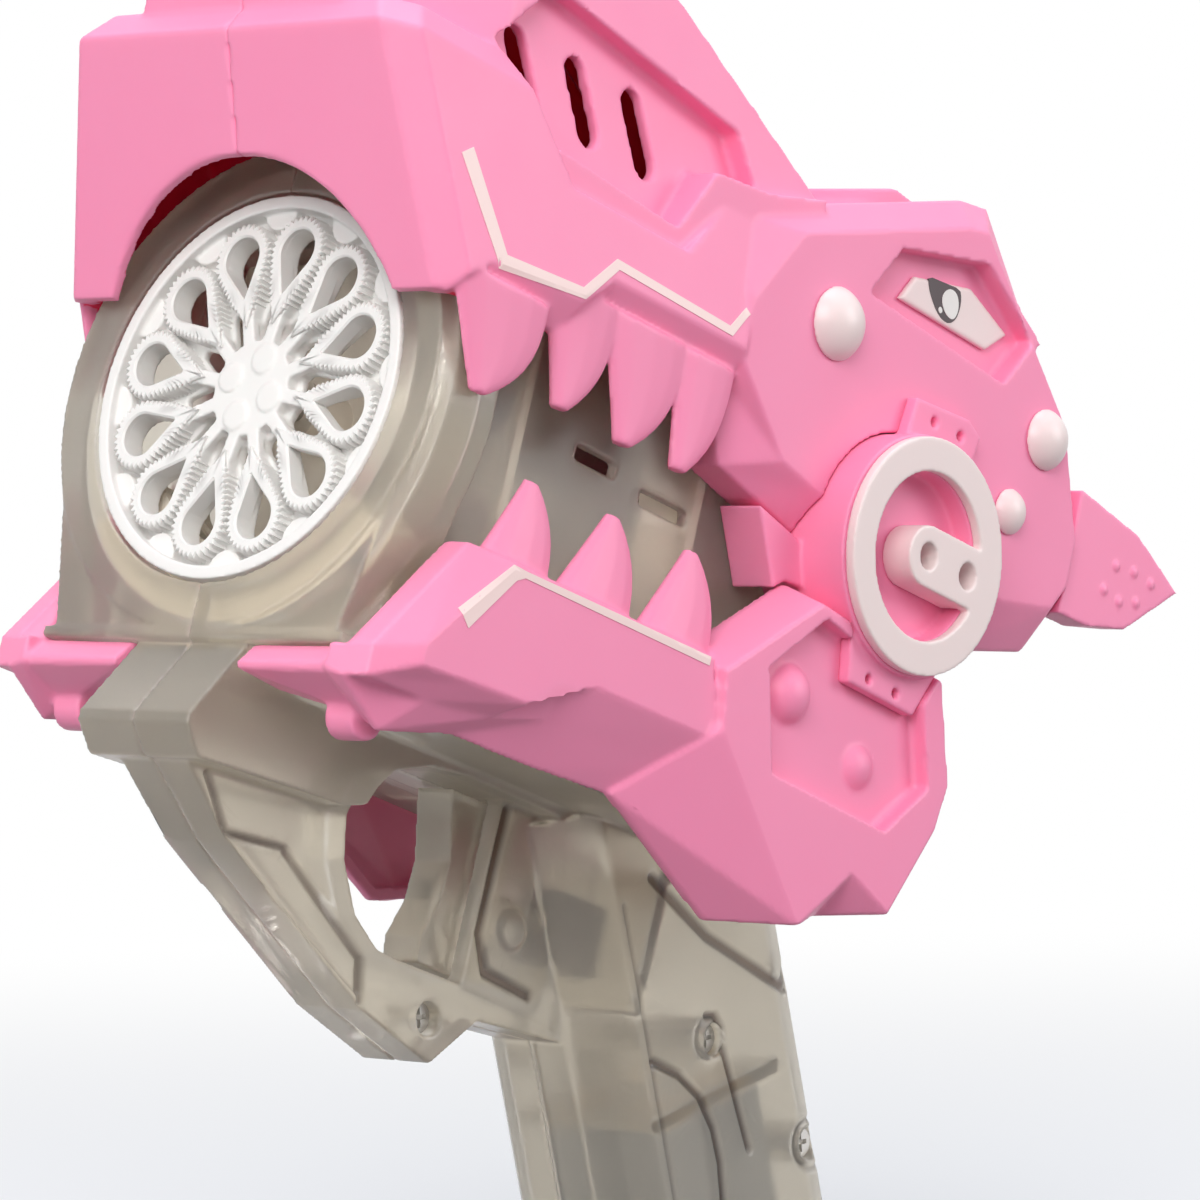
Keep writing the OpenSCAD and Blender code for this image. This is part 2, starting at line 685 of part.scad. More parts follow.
module grip_solid(d, y0) {
    section = [for (p = inset(grip_section, d)) [p.x, p.y > -d - 1 ? y0 : p.y]];
    on_grip_axis() translate([0, 0, -base_t - foot_h])
        linear_extrude(base_t + foot_h - grip_top_t) polygon(section);
}

// Foot that widens down to the base
module grip_foot() {
    grow = 1 + 2 * foot_flare / grip_t;
    function ring(t, k) = [for (p = grip_section) [p.x * k, p.y * k, -t]];
    on_grip_axis() loft([ring(base_t + foot_h, grow), ring(base_t - 5, grow), ring(base_t - foot_h, 1)]);
}

module drum_outer() {
    rod_x(drum_r, 0, drum_len);
    cross_slab([[-drum_r + 3, -drum_r * 0.37], [-flange_half + 2, flange_z], [0, flange_z],
                [0, -drum_r * 0.37]], 0.6, drum_len);
    box([0, -flange_half, flange_z - flange_t], [drum_len + 5, 0, flange_z]);
}

module body_outer() {
    drum_outer();
    box([drum_len - 1, -box_half, -box_low], [box_end, 0, box_top]);
    side_slab(chin_outline, -chin_half + 1, 0);
    difference() {
        side_slab(guard_outline, -guard_t / 2, 0);
        side_slab(finger_hole, -far, 1);
    }
    side_slab(housing_outline, -housing_half, 0);
    grip_solid(0, 0);
    grip_foot();
}

module body_inner() {
    rod_x(nozzle_r, -1, wheel_t + 1.2);
    rod_x(drum_r - body_wall, wheel_t + 1, drum_len - body_wall);
    box([drum_len - body_wall - 1, -inner_half, -box_low + body_wall],
        [box_end - body_wall, 1, box_top - body_wall]);
    box([housing_x - 3, -trigger_t / 2 - gap, trigger_low - gap], [switch_x, 1, trigger_high + gap]);
    box([wing_x - gap, -wing_half - gap, trigger_low - gap],
        [wing_x + wing_t + trigger_travel + gap, 1, trigger_high + gap]);
    intersection() {
        grip_solid(body_wall, 1);
        unstand() box([-far, -far, floor_t], [far, far, 3 * far]);
    }
}

// Shelves that hold the cells between them, and the rib that holds the switch
module body_ribs() {
    for (t = [cell_top - contact_t - shelf_t, cell_low + contact_t])
        on_grip_axis()
            box([-door_half - 1, -grip_t / 2 + body_wall / 2, -t - shelf_t], [door_half + 1, 0, -t]);
    box([switch_x + switch_len, -grip_t / 2 + body_wall / 2, -74], [switch_x + switch_len + 2, 0, -50]);
}

module body_posts_solid() {
    intersection() {
        for (p = grip_posts) rod_y(post_d / 2, -far, 0, p);
        grip_solid(0, 0);
    }
    for (p = box_posts) rod_y(post_d / 2, -box_half + 1, 0, p);
}

// Holes for one screw that enters from the left: seat and clearance hole on the left, pilot hole on the right
module screw_hole(p, half, on_right) {
    rod_y(screw_d / 2 + bearing_gap, on_right ? -screw_reach - 1 : -far, 1, p);
    if (!on_right) rod_y(screw_head_d / 2 + fit, -far, -half + seat_depth, p);
}

module door_outline(grow) {
    on_grip_axis() {
        box([-door_half - grow, -far, -cell_low - grow], [door_half + grow, 0, -cell_top + grow]);
        box([-door_tab_half - grow, -far, -cell_top - 2],
            [door_tab_half + grow, 0, -door_screw_t + door_tab_half + grow]);
    }
}

module body_half(on_right) {
    difference() {
        union() {
            difference() {
                body_outer();
                body_inner();
            }
            body_posts_solid();
            body_ribs();
            if (on_right) rod_y(post_d / 2, -grip_t / 2 + 1, -grip_t / 2 + 9, on_grip(door_screw_t, 0));
        }
        unstand() box([-far, -far, -far], [far, far, 0]);
        box([-far, 0, -3 * far], [3 * far, far, far]);
        side_slab(guard_panel, -far, -guard_t / 2 + panel_depth);
        for (p = grip_posts) screw_hole(p, grip_t / 2, on_right);
        for (p = box_posts) screw_hole(p, box_half, on_right);
        screw_hole(guard_screw, guard_t / 2, on_right);
        for (p = concat(head_posts, jaw_posts, [pivot_at]))
            rod_y(screw_d / 2 + bearing_gap, -far, -inner_half + 1, p);
        rod_x(tube_r + fit, tube_high.x, box_end + 1, 0, tube_high.z);
        for (b = box_slots)
            box([b[0], -far, b[2] - box_slot_w / 2], [b[1], -inner_half + 1, b[2] + box_slot_w / 2]);
        if (on_right) {
            intersection() {
                door_outline(0);
                box([-far, -far, -3 * far], [3 * far, -grip_t / 2 + body_wall + 2 * fit, 0]);
            }
            rod_y(screw_d / 2 + bearing_gap, -far, -grip_t / 2 + 8, on_grip(door_screw_t, 0));
        }
    }
}

module body_shell_left() color(smoke) stand() body_half(false);
module body_shell_right() color(smoke) stand() right() body_half(true);

// Bubble wheel

loop_in = hub_d / 2 + 2;
loop_out = wheel_r - rim_w - 1.2;
floor_wheel_t = 1.5;
loop_front = 1;
spoke_w = 2.4;
lobe_r = 3.6;
lobe_front = 1.6;
hub_pad_r = 2.4;
hub_pad_t = 0.4;

// Teardrop outline of one loop, its round end outward, with its wire pulled in by d
module loop_outline(d) {
    r = loop_w / 2 - d;
    tail = loop_in + 1.4 * d;
    mid = loop_out - loop_w / 2;
    a = asin(r / (mid - tail));
    round_end = [for (i = [-8 : 8]) let (b = i * (90 + a) / 8) [mid + r * cos(b), r * sin(b)]];
    polygon(concat([[tail, 0]], round_end));
}

module wheel_flat() {
    rotate([90, 0, 90]) children();
}

// Copies at every loop, or between the loops where half is 0.5
module at_loops(half = 0) for (i = [0 : loop_count - 1])
    rotate(360 * (i + half) / loop_count + loop_turn) children();

module wheel_eyes() at_loops() loop_outline(loop_wire);

// Gaps between the loops next to the hub
module wheel_gaps() at_loops(0.5) translate([hub_d / 2, 0])
    polygon([[1, -1.2], [1.8, -1.8], [3, -1.9], [7.8, -0.7], [8.2, 0], [7.8, 0.7], [3, 1.9], [1.8, 1.8],
             [1, 1.2]]);

// Flat pattern of the loops, the hub and the short spokes to it
module wheel_web() difference() {
    union() {
        circle(hub_d / 2);
        at_loops() {
            loop_outline(0);
            translate([0, -spoke_w / 2]) square([loop_in + 2, spoke_w]);
        }
    }
    wheel_eyes();
}

// Lobes on the rim between the loops
module wheel_lobes() intersection() {
    circle(wheel_r - rim_w / 2);
    at_loops(0.5) translate([wheel_r - rim_w + 0.6, 0]) circle(lobe_r);
}

module bubble_wheel() color(white) stand() difference() {
    union() {
        difference() {
            rod_x(wheel_r, 0, wheel_t);
            rod_x(wheel_r - rim_w, -1, wheel_t - floor_wheel_t);
        }
        translate([loop_front, 0, 0]) wheel_flat()
            linear_extrude(wheel_t - floor_wheel_t - loop_front + 0.5) wheel_web();
        translate([lobe_front, 0, 0]) wheel_flat()
            linear_extrude(wheel_t - floor_wheel_t - lobe_front + 0.5) wheel_lobes();
        for (i = [0 : 3]) rotate([90 * i + 20, 0, 0])
            rod_x(hub_pad_r, loop_front - hub_pad_t, loop_front + 1, 0, hub_d / 2 - hub_pad_r - 0.6);
    }
    translate([wheel_t - floor_wheel_t - 1, 0, 0]) wheel_flat() linear_extrude(wheel_t) {
        wheel_eyes();
        wheel_gaps();
    }
    rod_x(shaft_d / 2 + bearing_gap, 2.2, wheel_t + 1);
}

// Drive: motor, two reductions and the wheel's shaft

backlash = 0.3;

module gear_outline(teeth) {
    rp = gear_m * teeth / 2;
    ro = rp + 0.9 * gear_m;
    rr = rp - 1.2 * gear_m;
    half = (PI * gear_m / 2 - backlash) / 2;
    function polar(r, a) = [r * cos(a), r * sin(a)];
    function deg(w, r) = w / r * 180 / PI;
    polygon([for (i = [0 : teeth - 1])
        let (a = 360 * i / teeth, p = deg(half, rp), o = deg(0.42 * half, ro),
             f = min(deg(1.35 * half, rr), 170 / teeth))
            each [polar(rr, a - f), polar(rp, a - p), polar(ro, a - o),
                  polar(ro, a + o), polar(rp, a + p), polar(rr, a + f)]]);
}

module gear(teeth, x, z, phase) {
    translate([x, 0, z]) wheel_flat() linear_extrude(gear_w) rotate(phase) gear_outline(teeth);
}

half_tooth = 180 / wheel_teeth;
motor_shaft_r = 1;
counter_pin_r = 1.5;
bearing_r = 5;
bearing_x = drum_len - 3;
counter_z = -centre_dist;
post_y = inner_half - 4.8;
post_yz = [[post_y, 23], [-post_y, 23], [post_y, -39.5], [-post_y, -39.5]];
air_hole_r = 6;
air_y = inner_half - air_hole_r - 1.8;
air_holes = [[air_y, 8], [-air_y, 8], [air_y, -12], [-air_y, -12]];

module wheel_shaft() color(steel) stand() rod_x(shaft_d / 2, 2.2, out_gear_x + gear_w);

module output_gear() color(cream) stand() difference() {
    gear(wheel_teeth, out_gear_x, 0, half_tooth);
    rod_x(shaft_d / 2 + bearing_gap, 0, far);
}

module counter_gear() color(cream) stand() difference() {
    union() {
        gear(wheel_teeth, pinion_x, counter_z, half_tooth);
        gear(pinion_teeth, out_gear_x, counter_z, 0);
        rod_x(gear_m * (pinion_teeth / 2 - 1.2), out_gear_x, pinion_x + eps, 0, counter_z);
    }
    rod_x(counter_pin_r + bearing_gap, 0, far, 0, counter_z);
}

module counter_pin() color(steel) stand() rod_x(counter_pin_r, bulkhead_x, motor_x, 0, counter_z);

module motor_pinion() color(brass) stand() difference() {
    gear(pinion_teeth, pinion_x, 0, 0);
    rod_x(motor_shaft_r + bearing_gap, 0, far);
}

module motor_shaft() color(steel) stand() rod_x(motor_shaft_r, pinion_x, fan_x + fan_len);

module fan_rotor() color(cream) stand() difference() {
    union() {
        rod_x(6, fan_x, fan_x + fan_len);
        intersection() {
            for (i = [0 : 6]) rotate([360 * i / 7, 0, 0])
                translate([fan_x + fan_len / 2, 0, 0]) rotate([0, 0, 38])
                    box([-5.5, -0.6, 4], [5.5, 0.6, fan_d / 2 + 2]);
            rod_x(fan_d / 2, fan_x, fan_x + fan_len);
        }
    }
    rod_x(motor_shaft_r + bearing_gap, 0, far);
}

module motor_can() color(steel) stand() difference() {
    union() {
        rod_x(motor_d / 2, motor_x, motor_x + motor_len);
        rod_x(3, motor_x - plate_t, motor_x + 1);
        rod_x(4, motor_x + motor_len - 1, motor_x + motor_len + 2);
    }
    rod_x(motor_shaft_r + bearing_gap, 0, far);
}

module frame_plate(x)
    box([x, -inner_half, -box_low + body_wall], [x + plate_t, inner_half, box_top - body_wall]);

module frame_cuts() {
    for (p = air_holes) rod_x(air_hole_r, 0, far, p.x, p.y);
    rod_x(counter_pin_r + bearing_gap, 0, far, 0, counter_z);
    rod_x(tube_r + fit, 0, far, tube_low.y, tube_low.z);
}

module gear_frame_front() color(cream) stand() difference() {
    union() {
        frame_plate(bulkhead_x);
        rod_x(bearing_r, bearing_x, bulkhead_x + 1);
    }
    frame_cuts();
    rod_x(shaft_d / 2 + bearing_gap, 0, far);
}

module gear_frame_rear() color(cream) stand() difference() {
    union() {
        frame_plate(rear_plate_x);
        for (p = post_yz) rod_x(2.5, bulkhead_x + plate_t, rear_plate_x + 1, p.x, p.y);
    }
    frame_cuts();
    rod_x(3 + fit, 0, far);
}

module fan_shroud() color(cream) stand() difference() {
    union() {
        rod_x(fan_d / 2 + 3, fan_x - 1, fan_x + fan_len + 1);
        frame_plate(fan_x + fan_len - 1);
    }
    rod_x(fan_d / 2 + 1, 0, far * 2);
    rod_x(tube_r + fit, 0, far * 2, tube_low.y, tube_low.z);
}

// Bubble solution: tray under the wheel, feed tube, bottle socket and seal

tray_x = wheel_t + 1.8;
tray_out = drum_r - body_wall - fit;
tray_in = wheel_r - 7;
tray_end_angle = 3;
tray_wall = 1.2;
tray_span = 110;

// Ring sector about the barrel, centred straight down
module sector(r0, r1, x0, x1, span) {
    translate([x0, 0, 0]) rotate([0, 90, 0]) rotate(-span / 2) rotate_extrude(angle = span)
        translate([r0, 0]) square([r1 - r0, x1 - x0]);
}

module solution_tray() color(cream) stand() difference() {
    sector(tray_in, tray_out, tray_x, drum_len - body_wall, tray_span);
    sector(tray_in - 1, tray_out - tray_wall, tray_x + tray_wall, drum_len - body_wall - tray_wall,
           tray_span - 2 * tray_end_angle);
}

// Ring of the feed tube at c, square to the direction d
function tube_ring(c, d, r) =
    let (n = d / norm(d), u = cross([0, 1, 0], n) / norm(cross([0, 1, 0], n)), v = cross(n, u))
        [for (i = [0 : 15]) c + r * (u * cos(22.5 * i) + v * sin(22.5 * i))];

module tube_run(r, over) {
    a = [drum_len - body_wall - over, tube_low.y, tube_low.z];
    b = [socket_x - plate_t + over, 0, tube_high.z];
    slope = (tube_high - tube_low) / norm(tube_high - tube_low);
    loft([tube_ring(a, [1, 0, 0], r), tube_ring(tube_low, [1, 0, 0] + slope, r),
          tube_ring(tube_high, [1, 0, 0] + slope, r), tube_ring(b, [1, 0, 0], r)]);
}

module feed_tube() color(white) stand() difference() {
    tube_run(tube_r, 0);
    tube_run(tube_bore_r, 1);
}

bracket_half = 12;

module bottle_socket() color(smoke) stand() difference() {
    union() {
        rod_x(socket_out_r, socket_x - plate_t, socket_x + socket_len, 0, socket_z);
        box([box_end, -bracket_half, box_top - 18], [socket_x - plate_t + eps, bracket_half, box_top]);
    }
    rod_x(socket_d / 2, bore_x, far * 3, 0, socket_z);
    rod_x(seal_r + fit, socket_x, bore_x + 1, 0, socket_z);
    box([box_end - 1, -bracket_half + body_wall, box_top - 18 + body_wall],
        [socket_x - plate_t, bracket_half - body_wall, box_top - body_wall]);
    rod_x(tube_bore_r, 0, far * 3, 0, tube_high.z);
}

module bottle_seal() color(dark) stand() difference() {
    rod_x(seal_r, socket_x, socket_x + seal_t, 0, socket_z);
    rod_x(seal_r - 4, 0, far * 3, 0, socket_z);
}

// Trigger and its switch

trigger_outline = [[62, trigger_high], [65, -59.7], [64.6, -66.5], [62, -73.2], [62.6, trigger_low],
                   [wing_x + wing_t, trigger_low], [wing_x + wing_t, trigger_high]];

module trigger() color(smoke) stand() {
    side_slab(trigger_outline, -trigger_t / 2, trigger_t / 2);
    box([wing_x, -wing_half, trigger_low], [wing_x + wing_t, wing_half, trigger_high]);
    rod_x(plunger_r, wing_x, switch_x - 0.5, 0, trigger_z);
}

module trigger_switch() color(dark) stand() difference() {
    box([switch_x, -switch_w / 2, trigger_z - switch_h / 2],
        [switch_x + switch_len, switch_w / 2, trigger_z + switch_h / 2]);
    rod_x(plunger_r + gap, 0, switch_x + trigger_travel + 1, 0, trigger_z);
}

// Batteries

cell_places = [for (u = [-1, 1], y = [-1, 1]) [u, y] * (cell_d / 2 + 0.15)];

module battery_cells() color(steel) stand() on_grip_axis()
    for (c = cell_places) translate([c.x, c.y, -cell_low]) cylinder(h = cell_len, r = cell_d / 2);

module battery_contacts() color(brass) stand() on_grip_axis()
    for (c = cell_places, z = [-cell_low - contact_t, -cell_top])
        translate([c.x, c.y, z]) cylinder(h = contact_t, r = cell_d / 2 - 2);

module battery_door() color(smoke) stand() right() difference() {
    intersection() {
        door_outline(-fit);
        box([-far, -grip_t / 2, -3 * far], [3 * far, -grip_t / 2 + body_wall, 0]);
    }
    rod_y(screw_d / 2 + bearing_gap, -far, 0, on_grip(door_screw_t, 0));
    rod_y(screw_head_d / 2 + fit, -far, -grip_t / 2 + 1, on_grip(door_screw_t, 0));
}

// Screws, all with the same pan head

module screw(p, seat, reach) {
    rod_y(screw_d / 2, seat - eps, seat + reach, p);
    rod_y(screw_head_d / 2, seat - screw_head_t, seat, p);
}

module door_screw() color(steel) stand() right() screw(on_grip(door_screw_t, 0), -grip_t / 2 + 1, 6.5);

module body_screws() color(steel) stand() {
    for (p = grip_posts) screw(p, -grip_t / 2 + seat_depth, grip_t / 2 - seat_depth + screw_reach);
    for (p = box_posts) screw(p, -box_half + seat_depth, box_half - seat_depth + screw_reach);
    screw(guard_screw, -guard_t / 2 + seat_depth, guard_t / 2 - seat_depth + 5);
}

// Screws that hold an outer shell to the barrel box, their heads inside the box
module shell_screws(places, roots) {
    for (i = [0 : len(places) - 1], side = [0, 1]) {
        tip = roots[i] - pilot_end - screw_tip_gap;
        mirror([0, side, 0]) {
            rod_y(screw_d / 2, -tip, -inner_half, places[i]);
            rod_y(screw_head_d / 2, -inner_half, -inner_half + screw_head_t, places[i]);
        }
    }
}

module head_screws() color(steel) stand()
    shell_screws(concat(head_posts, [pivot_at]), concat(head_roots, [pivot_root]));
module jaw_screws() color(steel) stand() shell_screws(jaw_posts, jaw_roots);

head_shell_left();
head_shell_right();
jaw_left();
jaw_right();
pivot_boss_left();
pivot_boss_right();
pivot_ring_left();
pivot_ring_right();
cheek_studs_left();
cheek_studs_right();
eye_left();
eye_right();
ear_fin_left();
ear_fin_right();
body_shell_left();
body_shell_right();
bubble_wheel();
wheel_shaft();
output_gear();
counter_gear();
counter_pin();
motor_pinion();
motor_shaft();
fan_rotor();
motor_can();
gear_frame_front();
gear_frame_rear();
fan_shroud();
solution_tray();
feed_tube();
bottle_socket();
bottle_seal();
trigger();
trigger_switch();
battery_cells();
battery_contacts();
battery_door();
door_screw();
body_screws();
head_screws();
jaw_screws();
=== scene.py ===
"""Looks of a toy bubble blower shaped like a dinosaur head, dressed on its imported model.

Lengths are in millimetres in the barrel frame unless a name says otherwise: x runs rearward
along the barrel, y to the toy's right and z up across the barrel, from the centre of the bubble
wheel's front face.
"""

import json
import logging
import math
from collections.abc import Sequence
from dataclasses import dataclass, field
from enum import Enum

import bmesh
import bpy
import numpy as np
from mathutils import Matrix, Vector
from mathutils.bvhtree import BVHTree

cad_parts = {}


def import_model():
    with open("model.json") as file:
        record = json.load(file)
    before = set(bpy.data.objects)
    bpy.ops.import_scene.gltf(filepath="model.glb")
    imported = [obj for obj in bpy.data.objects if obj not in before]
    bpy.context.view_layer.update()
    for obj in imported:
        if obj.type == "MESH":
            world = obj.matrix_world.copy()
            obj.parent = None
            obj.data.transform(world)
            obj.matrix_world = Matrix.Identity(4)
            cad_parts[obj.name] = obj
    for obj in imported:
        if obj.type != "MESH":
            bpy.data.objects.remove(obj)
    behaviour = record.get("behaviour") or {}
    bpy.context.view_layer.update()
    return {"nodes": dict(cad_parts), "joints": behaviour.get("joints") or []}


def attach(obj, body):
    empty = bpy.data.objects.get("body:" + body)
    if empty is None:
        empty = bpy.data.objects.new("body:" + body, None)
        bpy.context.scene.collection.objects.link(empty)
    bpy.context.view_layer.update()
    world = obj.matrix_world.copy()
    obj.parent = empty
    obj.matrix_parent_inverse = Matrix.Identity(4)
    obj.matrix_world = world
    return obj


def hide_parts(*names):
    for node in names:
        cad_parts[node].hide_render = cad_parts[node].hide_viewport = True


MM = 0.001
PAINTED_SHADE_ATTR = "crease"
LOG = logging.getLogger("bubble_blower")

ACROSS = Vector((0, 1, 0))

Colour = tuple[float, float, float]
Place = tuple[float, float, float]
Flat = tuple[float, float]


class Body(Enum):
    """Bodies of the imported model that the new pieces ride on."""

    HOUSING = "housing"
    WHEEL = "wheel"
    TRIGGER = "trigger"


class Slot(Enum):
    """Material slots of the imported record."""

    PINK = "pink_plastic"
    WHITE = "white_plastic"
    SMOKY = "smoky_plastic"
    CREAM = "cream_plastic"
    STEEL = "steel"
    BRASS = "brass"
    TUBE = "clear_tube"
    RUBBER = "black_rubber"
    BLACK = "black_plastic"
    JACKET = "cell_jacket"


class Side(Enum):
    """Sides of the toy, by the sign of y."""

    LEFT = -1
    RIGHT = 1

    def node(self, name: str) -> str:
        """Name of this side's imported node."""
        return f"{name}_{self.name.lower()}"


@dataclass(frozen=True)
class BarrelFrame:
    """The barrel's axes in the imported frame, read from the wheel's joint."""

    origin: Vector
    along: Vector
    up: Vector

    @classmethod
    def from_joints(cls, joints: Sequence[dict]) -> "BarrelFrame":
        """Takes the frame from the joint that the wheel turns on.

        Args:
            joints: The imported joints.

        Returns:
            The barrel's frame.
        """
        spin = next(j for j in joints if j["name"] == "wheel_spin")
        along = Vector(spin["axis"]).normalized()
        return cls(Vector(spin["pos_m"]), along, along.cross(ACROSS).normalized())

    def matrix(self) -> Matrix:
        """Barrel millimetres to packed metres."""
        turn = Matrix((self.along, ACROSS, self.up)).transposed().to_4x4()
        return Matrix.Translation(self.origin) @ turn @ Matrix.Scale(MM, 4)

    def point(self, x: float, y: float, z: float) -> Vector:
        """Packed place of a point of the barrel frame."""
        return self.matrix() @ Vector((x, y, z))

    def vector(self, x: float, y: float, z: float) -> Vector:
        """Packed direction of a vector of the barrel frame."""
        return self.along * x + ACROSS * y + self.up * z

    def coordinates(self, mesh: bpy.types.Mesh) -> np.ndarray:
        """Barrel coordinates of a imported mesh.

        Args:
            mesh: Mesh in packed metres.

        Returns:
            One row of x, y and z for each vertex, in millimetres.
        """
        flat = np.empty(len(mesh.vertices) * 3)
        mesh.vertices.foreach_get("co", flat)
        inverse = np.array(self.matrix().inverted())
        return flat.reshape(-1, 3) @ inverse[:3, :3].T + inverse[:3, 3]


class NodeBench:
    """Adds and links nodes of one tree in short lines."""

    MIX_SHARE, MIX_FIRST, MIX_SECOND, MIX_COLOUR = 0, 6, 7, 2

    def __init__(self, tree: bpy.types.NodeTree) -> None:
        """Clears the tree and keeps it."""
        self.tree = tree
        tree.nodes.clear()

    def add(self, kind: str, feeds: dict[str | int, object] | None = None,
            **values: object) -> bpy.types.Node:
        """Adds a node, sets its properties and feeds its inputs.

        Args:
            kind: Type name of the node.
            feeds: Socket or plain value for each input to set.
            values: Properties of the node.

        Returns:
            The node.
        """
        node = self.tree.nodes.new(kind)
        for name, value in values.items():
            setattr(node, name, value)
        for name, value in (feeds or {}).items():
            if isinstance(value, bpy.types.NodeSocket):
                self.wire(value, node.inputs[name])
            else:
                node.inputs[name].default_value = value
        return node

    def wire(self, source: bpy.types.NodeSocket, target: bpy.types.NodeSocket) -> None:
        """Links one output to one input."""
        self.tree.links.new(source, target)

    def blend(self, first: Colour | bpy.types.NodeSocket, second: Colour,
              share: bpy.types.NodeSocket) -> bpy.types.NodeSocket:
        """Blends two colours.

        Args:
            first: Colour where the share is 0, or the socket that gives it.
            second: Colour where the share is 1.
            share: Share of the second colour.

        Returns:
            The blended colour.
        """
        given = first if isinstance(first, bpy.types.NodeSocket) else (*first, 1)
        mix = self.add("ShaderNodeMix", {self.MIX_SHARE: share, self.MIX_FIRST: given,
                                         self.MIX_SECOND: (*second, 1)}, data_type="RGBA")
        return mix.outputs[self.MIX_COLOUR]


@dataclass(frozen=True)
class Finish:
    """A moulded or metal finish with a slow drift of tone, uneven gloss and a fine grain."""

    name: str
    slot: Slot
    colour: Colour
    drift: Colour
    roughness: float = 0.36
    metallic: float = 0.0
    transmission: float = 0.0
    subsurface: float = 0.0
    coat: float = 0.0
    coat_roughness: float = 0.2
    ior: float = 1.46
    grain: float = 0.05
    drift_scale: float = 26.0
    grain_scale: float = 1400.0
    # Colour of painted shade on the walls that a mesh marks; None paints no shade.
    crease: Colour | None = None
    gloss_scale: float = 120.0
    gloss_spread: Flat = (-0.05, 0.07)
    grain_depth_m: float = 0.0002
    glow_depth_m: float = 0.004
    glow_reach: Colour = (1.0, 0.55, 0.6)

    def material(self) -> bpy.types.Material:
        """The finish as a material, made once.

        Returns:
            The node material.
        """
        made = bpy.data.materials.get(self.name)
        if made is not None:
            return made
        material = bpy.data.materials.new(self.name)
        material.use_nodes = True
        bench = NodeBench(material.node_tree)
        place = bench.add("ShaderNodeTexCoord").outputs["Object"]
        drift = self.noise(bench, place, self.drift_scale, 2.0)
        colour = bench.blend(self.colour, self.drift, drift)
        gloss = bench.add("ShaderNodeMapRange", {
            "Value": self.noise(bench, place, self.gloss_scale, 3.0),
            "To Min": self.roughness + self.gloss_spread[0],
            "To Max": self.roughness + self.gloss_spread[1]})
        bump = bench.add("ShaderNodeBump", {
            "Height": self.noise(bench, place, self.grain_scale, 2.0),
            "Strength": self.grain, "Distance": self.grain_depth_m})
        shader = bench.add("ShaderNodeBsdfPrincipled", {
            "Base Color": self.with_painted_shade(bench, colour), "Roughness": gloss.outputs["Result"],
            "Normal": bump.outputs["Normal"], "Metallic": self.metallic, "IOR": self.ior,
            "Transmission Weight": self.transmission, "Subsurface Weight": self.subsurface,
            "Subsurface Scale": self.glow_depth_m, "Subsurface Radius": self.glow_reach,
            "Coat Weight": self.coat, "Coat Roughness": self.coat_roughness})
        bench.add("ShaderNodeOutputMaterial", {"Surface": shader.outputs["BSDF"]})
        return material

    def with_painted_shade(self, bench: NodeBench, colour: bpy.types.NodeSocket) -> bpy.types.NodeSocket:
        """Paints shade along pressed lines and on marked inner walls, where the finish has a colour
        for it.

        Args:
            bench: Tree of the finish.
            colour: Colour without the painted shade.

        Returns:
            The colour with its painted shade.
        """
        if self.crease is None:
            return colour
        # The mesh's share of painted shade blends in the shade colour.
        mark = bench.add("ShaderNodeAttribute", attribute_name=PAINTED_SHADE_ATTR)
        return bench.blend(colour, self.crease, mark.outputs["Fac"])

    @staticmethod
    def noise(bench: NodeBench, place: bpy.types.NodeSocket, scale: float,
              detail: float) -> bpy.types.NodeSocket:
        """Noise over the piece's own coordinates.

        Args:
            bench: Tree that the noise goes into.
            place: Coordinates.
            scale: Noise cells for each metre.
            detail: Octaves.

        Returns:
            The noise's value.
        """
        node = bench.add("ShaderNodeTexNoise", {"Vector": place, "Scale": scale, "Detail": detail})
        return node.outputs["Fac"]


# The pink's crease colour paints deep crimson shade on the head's marked inner walls.
PINK = Finish("pink_moulded_plastic", Slot.PINK, (0.97, 0.30, 0.495), (0.95, 0.27, 0.465), 0.45,
              subsurface=0.12, crease=(0.9, 0.02, 0.1))
WHITE = Finish("white_wheel_plastic", Slot.WHITE, (0.86, 0.85, 0.83), (0.83, 0.81, 0.79), 0.4,
               subsurface=0.08)
IVORY = Finish("ivory_trim_plastic", Slot.WHITE, (0.87, 0.73, 0.72), (0.84, 0.70, 0.69), 0.36,
               subsurface=0.08, coat=0.1)
# The smoky plastic's crease colour paints dark shade along the body shells' pressed grooves.
SMOKE = Finish("smoky_clear_plastic", Slot.SMOKY, (0.83, 0.785, 0.70), (0.775, 0.73, 0.645), 0.3,
               transmission=0.86, coat=0.3, coat_roughness=0.22, drift_scale=34.0, ior=1.34,
               crease=(0.11, 0.075, 0.06))
CREAM = Finish("cream_inner_plastic", Slot.CREAM, (0.86, 0.80, 0.70), (0.82, 0.75, 0.64), 0.48)
PRINT = Finish("cream_stripe_print", Slot.WHITE, (0.92, 0.71, 0.69), (0.90, 0.68, 0.66), 0.42)
STEEL = Finish("screw_steel", Slot.STEEL, (0.62, 0.60, 0.57), (0.50, 0.48, 0.45), 0.3,
               metallic=1.0)
BRASS = Finish("contact_brass", Slot.BRASS, (0.80, 0.58, 0.27), (0.70, 0.48, 0.2), 0.28,
               metallic=1.0)
TUBE = Finish("clear_feed_tube", Slot.TUBE, (0.86, 0.86, 0.82), (0.8, 0.8, 0.76), 0.16,
              transmission=0.8)
RUBBER = Finish("black_seal_rubber", Slot.RUBBER, (0.03, 0.03, 0.032), (0.045, 0.045, 0.047), 0.62)
BLACK = Finish("black_print_plastic", Slot.BLACK, (0.035, 0.016, 0.022), (0.05, 0.03, 0.035), 0.35)
SWITCH = Finish("switch_case_plastic", Slot.BLACK, (0.16, 0.14, 0.13), (0.2, 0.17, 0.16), 0.45)
JACKET = Finish("cell_jacket_film", Slot.JACKET, (0.10, 0.11, 0.13), (0.14, 0.15, 0.17), 0.3,
                coat=0.3)


